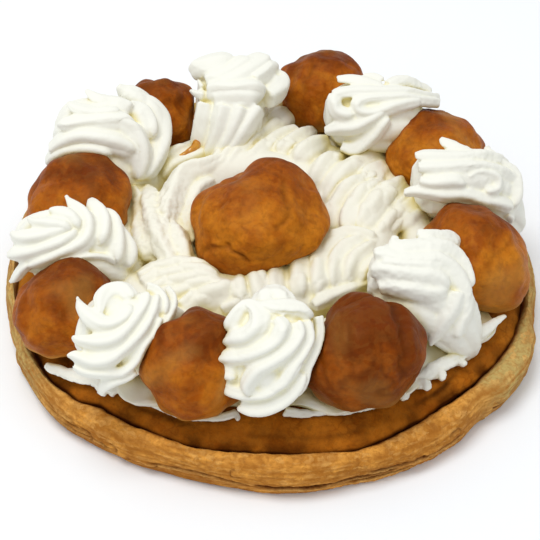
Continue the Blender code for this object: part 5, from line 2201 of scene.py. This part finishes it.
@dataclass
class Cake:
    """The whole cake, piece by piece."""

    puff_faces: int = 44
    puffs: tuple[ChouxPuff, ...] = (
        ChouxPuff(
            "choux_puff_1", -81.5, 5, 48, 40, 1, bake=0.25, wrinkle=0.1,
            dents=(
                Dent(7, -6, 0.22), Dent(27, 21, -0.14), Dent(91, 53, -0.07),
                Dent(134, 49, -0.05), Dent(165, 31, 0.22), Dent(-173, 6, 0.13),
                Dent(-153, -21, -0.22), Dent(-15, -31, 0.08),
            ),
        ),
        ChouxPuff(
            "choux_puff_2", -53, 70.5, 37, 35, 2, bake=0.35,
            dents=(
                Dent(200, 10, 0.08, 30), Dent(4, -2, 0.15), Dent(24, 22, -0.15),
                Dent(49, 43, -0.09), Dent(90, 53, 0.2), Dent(135, 46, -0.05),
                Dent(164, 27, 0.08),
            ),
            cracks=(Crack((-60, 70), (-30, 20), 0.02, 3.5),),
        ),
        ChouxPuff(
            "choux_puff_3", 21.5, 88, 40.5, 39, 3, bake=0.35,
            dents=(
                Dent(290, 20, 0.07, 22), Dent(240, 60, -0.05, 30), Dent(18, 26, -0.07),
                Dent(47, 46, -0.05), Dent(134, 43, 0.12), Dent(160, 22, -0.05),
                Dent(179, -2, 0.07),
            ),
            cracks=(Crack((-122, 78), (-121, 30), 0.03, 4),),
        ),
        ChouxPuff(
            "choux_puff_4", 70, 44.5, 46, 38, 4,
            dents=(
                Dent(20, 30, -0.08, 18), Dent(60, 55, 0.06, 20), Dent(-5, 6, 0.03),
                Dent(16, 32, 0.09), Dent(131, 44, 0.07), Dent(156, 21, 0.15),
                Dent(175, -6, 0.05), Dent(-164, -32, -0.03), Dent(-24, -21, 0.04),
            ),
            cracks=(Crack((140, 81), (-140, 42), 0.015, 4),),
        ),
        ChouxPuff(
            "choux_puff_5", 82.5, -22, 45, 41, 5, bake=0.1,
            dents=(
                Dent(-6, 7, 0.05), Dent(17, 30, 0.18), Dent(49, 45, 0.06),
                Dent(91, 48, 0.03), Dent(128, 37, -0.08), Dent(153, 16, -0.06),
                Dent(-89, -48, 0.05), Dent(-52, -37, -0.15), Dent(-27, -16, -0.1),
            ),
            cracks=(Crack((-60, 65), (-88, 25), 0.015, 4),),
        ),
        ChouxPuff(
            "choux_puff_6", 34, -74.5, 47, 42, 6, bake=1.25, wrinkle=1.3,
            dents=(
                Dent(285, 45, 0.06, 16), Dent(330, 20, -0.06, 18),
                Dent(180, 10, 0.12, 35), Dent(22, 25, -0.14), Dent(52, 40, 0.07),
                Dent(91, 45, -0.06), Dent(127, 36, 0.12), Dent(155, 18, 0.22),
                Dent(178, -4, 0.22), Dent(-158, -25, -0.08), Dent(-128, -40, 0.07),
                Dent(-89, -45, 0.06), Dent(-25, -18, 0.05),
            ),
            cracks=(
                Crack((-151, 77), (-101, 22), 0.02, 3.5),
                Crack((54, 50), (-36, 45), 0.045, 4.5),
                Crack((-36, 45), (-52, 12), 0.035, 4),
                Crack((-168, 48), (-120, 8), 0.025, 3.5),
            ),
        ),
        ChouxPuff(
            "choux_puff_7", -28, -82, 42.5, 42, 7, bake=0.5,
            dents=(
                Dent(0, 0, 0.24, 48), Dent(230, 20, -0.04, 24), Dent(26, 18, -0.16),
                Dent(91, 42, -0.06), Dent(129, 36, 0.17), Dent(-177, 2, -0.14),
                Dent(-154, -18, 0.18), Dent(-126, -34, 0.05), Dent(-89, -42, -0.05),
                Dent(-21, -21, -0.12),
            ),
            cracks=(Crack((-134, 58), (-124, 8), 0.012, 4),),
        ),
        ChouxPuff(
            "choux_puff_8", -79.5, -53, 41.5, 35.5, 8, bake=0.4,
            dents=(
                Dent(330, 20, 0.14, 40), Dent(92, 48, -0.16), Dent(132, 45, 0.03),
                Dent(163, 29, 0.11), Dent(-174, 7, -0.06), Dent(-152, -18, 0.07),
                Dent(-88, -48, 0.06), Dent(-48, -45, 0.17), Dent(-17, -29, 0.11),
            ),
        ),
        ChouxPuff(
            "choux_puff_centre", -5, -11.5, 55.5, 40.7, 9, seat=30, bake=-0.1,
            dents=(
                Dent(131, 37, 0.16, 24), Dent(57, 42, -0.08), Dent(172, 8, -0.06),
                Dent(210, -27, -0.1, 24), Dent(322, -25, 0.07, 30), Dent(22, 29, 0.05),
                Dent(132, 48, 0.05), Dent(-158, -29, 0.12), Dent(-129, -48, -0.1),
                Dent(-89, -56, 0.18), Dent(-48, -48, 0.09), Dent(-20, -28, 0.06),
            ),
            cracks=(
                Crack((24, 67), (-54, 50), 0.03, 3.5),
                Crack((-54, 50), (-72, 40), 0.02, 3),
                Crack((-141, 0), (-118, 24), 0.035, 2.2),
                Crack((-118, 24), (-97, 8), 0.035, 2),
                Crack((-152, 59), (-150, 45), 0.02, 3),
            ),
        ),
    )
    rosettes: tuple[CreamRosette, ...] = (
        CreamRosette(
            "cream_rosette_1", (-92, 53, 42.5), -32, (14, -72), 56, 23.5, 60,
            RIDGES_1, CreamHeap(sharp=0.28, seed=31, torn=((-70, 45, 60, 14, 0.5),)),
            cap_share=0.7,
        ),
        CreamRosette(
            "cream_rosette_2", (-102, -19, 38), -12, (24, -74), 56, 21.5, 75,
            RIDGES_2, CreamHeap(sharp=0.28, seed=32), cap_share=0.7,
        ),
        CreamRosette(
            "cream_rosette_3", (-69.5, -79.5, 37), 30, (34, -56), 46, 22.5, 90,
            RIDGES_3, CreamHeap(seed=33, torn=((-42, -74, 54, 9, 0.5),)), cap_share=0.7,
        ),
        CreamRosette(
            "cream_rosette_4", (0, -76.5, 25), 85, (110, 10), 38, 23, 110,
            RIDGES_4, CreamHeap(seed=34, torn=((2, -72, 62, 12, 0.7),)),
        ),
        CreamRosette(
            "cream_rosette_5", (40.5, -34, 41), -28, (12, -75), 54, 22, 40,
            RIDGES_5,
            CreamHeap(
                soften=3, fill=14, sharp=0.1, rough=0.2, seed=35,
                torn=((50, -38, 60, 26, 0.6),),
            ),
            laid_on=Bulk((38, -32.5, 41.5), 56, 22.5),
        ),
        CreamRosette(
            "cream_rosette_6", (58, 15.5, 43), -2, (12, -64), 55, 21.5, 60,
            RIDGES_6, CreamHeap(sharp=0.22, seed=36, torn=((88, 15, 58, 20, 0.6),)),
            laid_on=Bulk((53, 15.5, 43), 60, 22),
        ),
        CreamRosette(
            "cream_rosette_7", (22.5, 60, 43), -2, (10, -46), 58, 21.5, 60,
            RIDGES_7, CreamHeap(sharp=0.26, seed=37, torn=((60, 68, 56, 12, 0.6),)),
            laid_on=Bulk((21.5, 60, 43), 68, 22),
        ),
        CreamRosette(
            "cream_rosette_8", (-20.5, 89, 40.5), -86, (12, -62), 54, 24, 15,
            RIDGES_8, CreamHeap(sharp=0.14, seed=38), front_share=0.85, side_share=0.66,
        ),
    )

    def build(self, finishes: Finishes) -> None:
        """Make every piece.

        Args:
            finishes: The cake's finishes.
        """
        PuffPastryBase().build(finishes)
        ChouxLayer().build(finishes)
        grid = ball_grid(self.puff_faces)
        for puff in self.puffs:
            puff.build(grid, finishes)
        for rosette in self.rosettes:
            rosette.build(finishes)
        CreamFilling(FOLDS, SPILLS).build(finishes)
        CaramelDrip().build(finishes)


@dataclass
class Studio:
    """A pale floor, soft light and the camera of the view from above the front."""

    view: Viewpoint = Viewpoint((-0.0006, -0.0134, 0.02), 44.67, 0.5651, 0.851, 90.1)
    near_clip: float = 0.01
    floor_size: float = 6.0
    floor_colour: Colour = (0.89, 0.91, 0.925, 1.0)
    floor_roughness: float = 0.9
    room_colour: Colour = (0.97, 0.985, 1.0, 1.0)
    room_strength: float = 0.74
    lamp_place: tuple[float, float, float] = (-0.25, -0.1, 1.1)
    lamp_size: float = 0.6
    lamp_power: float = 6.4

    def build_camera(self) -> None:
        """Place the camera."""
        data = bpy.data.cameras.new("view_camera")
        data.lens = self.view.focal
        data.sensor_width = self.view.sensor
        data.clip_start = self.near_clip
        camera = bpy.data.objects.new("view_camera", data)
        bpy.context.scene.collection.objects.link(camera)
        right, up, forward = self.view.axes()
        turn = Matrix((right, up, -forward)).transposed().to_4x4()
        camera.matrix_world = Matrix.Translation(self.view.place()) @ turn
        bpy.context.scene.camera = camera

    def build_floor(self) -> None:
        """Lay the pale floor."""
        half = 0.5 * self.floor_size
        mesh = bpy.data.meshes.new("studio_floor")
        corners = [(-half, -half, 0.0), (half, -half, 0.0), (half, half, 0.0), (-half, half, 0.0)]
        mesh.from_pydata(corners, [], [(0, 1, 2, 3)])
        material = bpy.data.materials.new("pale_floor")
        material.use_nodes = True
        sockets = {"Base Color": self.floor_colour, "Roughness": self.floor_roughness}
        shader = material.node_tree.nodes["Principled BSDF"]
        Board(material.node_tree).fill(shader, {**sockets, "Specular IOR Level": 0.0})
        mesh.materials.append(material)
        floor = bpy.data.objects.new("studio_floor", mesh)
        bpy.context.scene.collection.objects.link(floor)

    def build_light(self) -> None:
        """Hang a wide soft lamp above the cake, in a pale room."""
        world = bpy.data.worlds.new("pale_room")
        world.use_nodes = True
        sockets = {"Color": self.room_colour, "Strength": self.room_strength}
        Board(world.node_tree).fill(world.node_tree.nodes["Background"], sockets)
        bpy.context.scene.world = world
        data = bpy.data.lights.new("soft_lamp", "AREA")
        data.shape = "DISK"
        data.size = self.lamp_size
        data.energy = self.lamp_power
        lamp = bpy.data.objects.new("soft_lamp", data)
        lamp.location = self.lamp_place
        lamp.rotation_euler = Vector(self.lamp_place).to_track_quat("Z", "Y").to_euler()
        bpy.context.scene.collection.objects.link(lamp)

    def build(self) -> None:
        """Set up the whole studio."""
        self.build_camera()
        self.build_floor()
        self.build_light()
        settings = bpy.context.scene.view_settings
        settings.view_transform = "Standard"
        settings.look = "None"


def main() -> None:
    """Build the studio and the cake."""
    logging.basicConfig(level=logging.INFO, format="%(message)s")
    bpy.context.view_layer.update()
    Studio().build()
    Cake().build(Finishes())


if __name__ == "__main__":
    main()
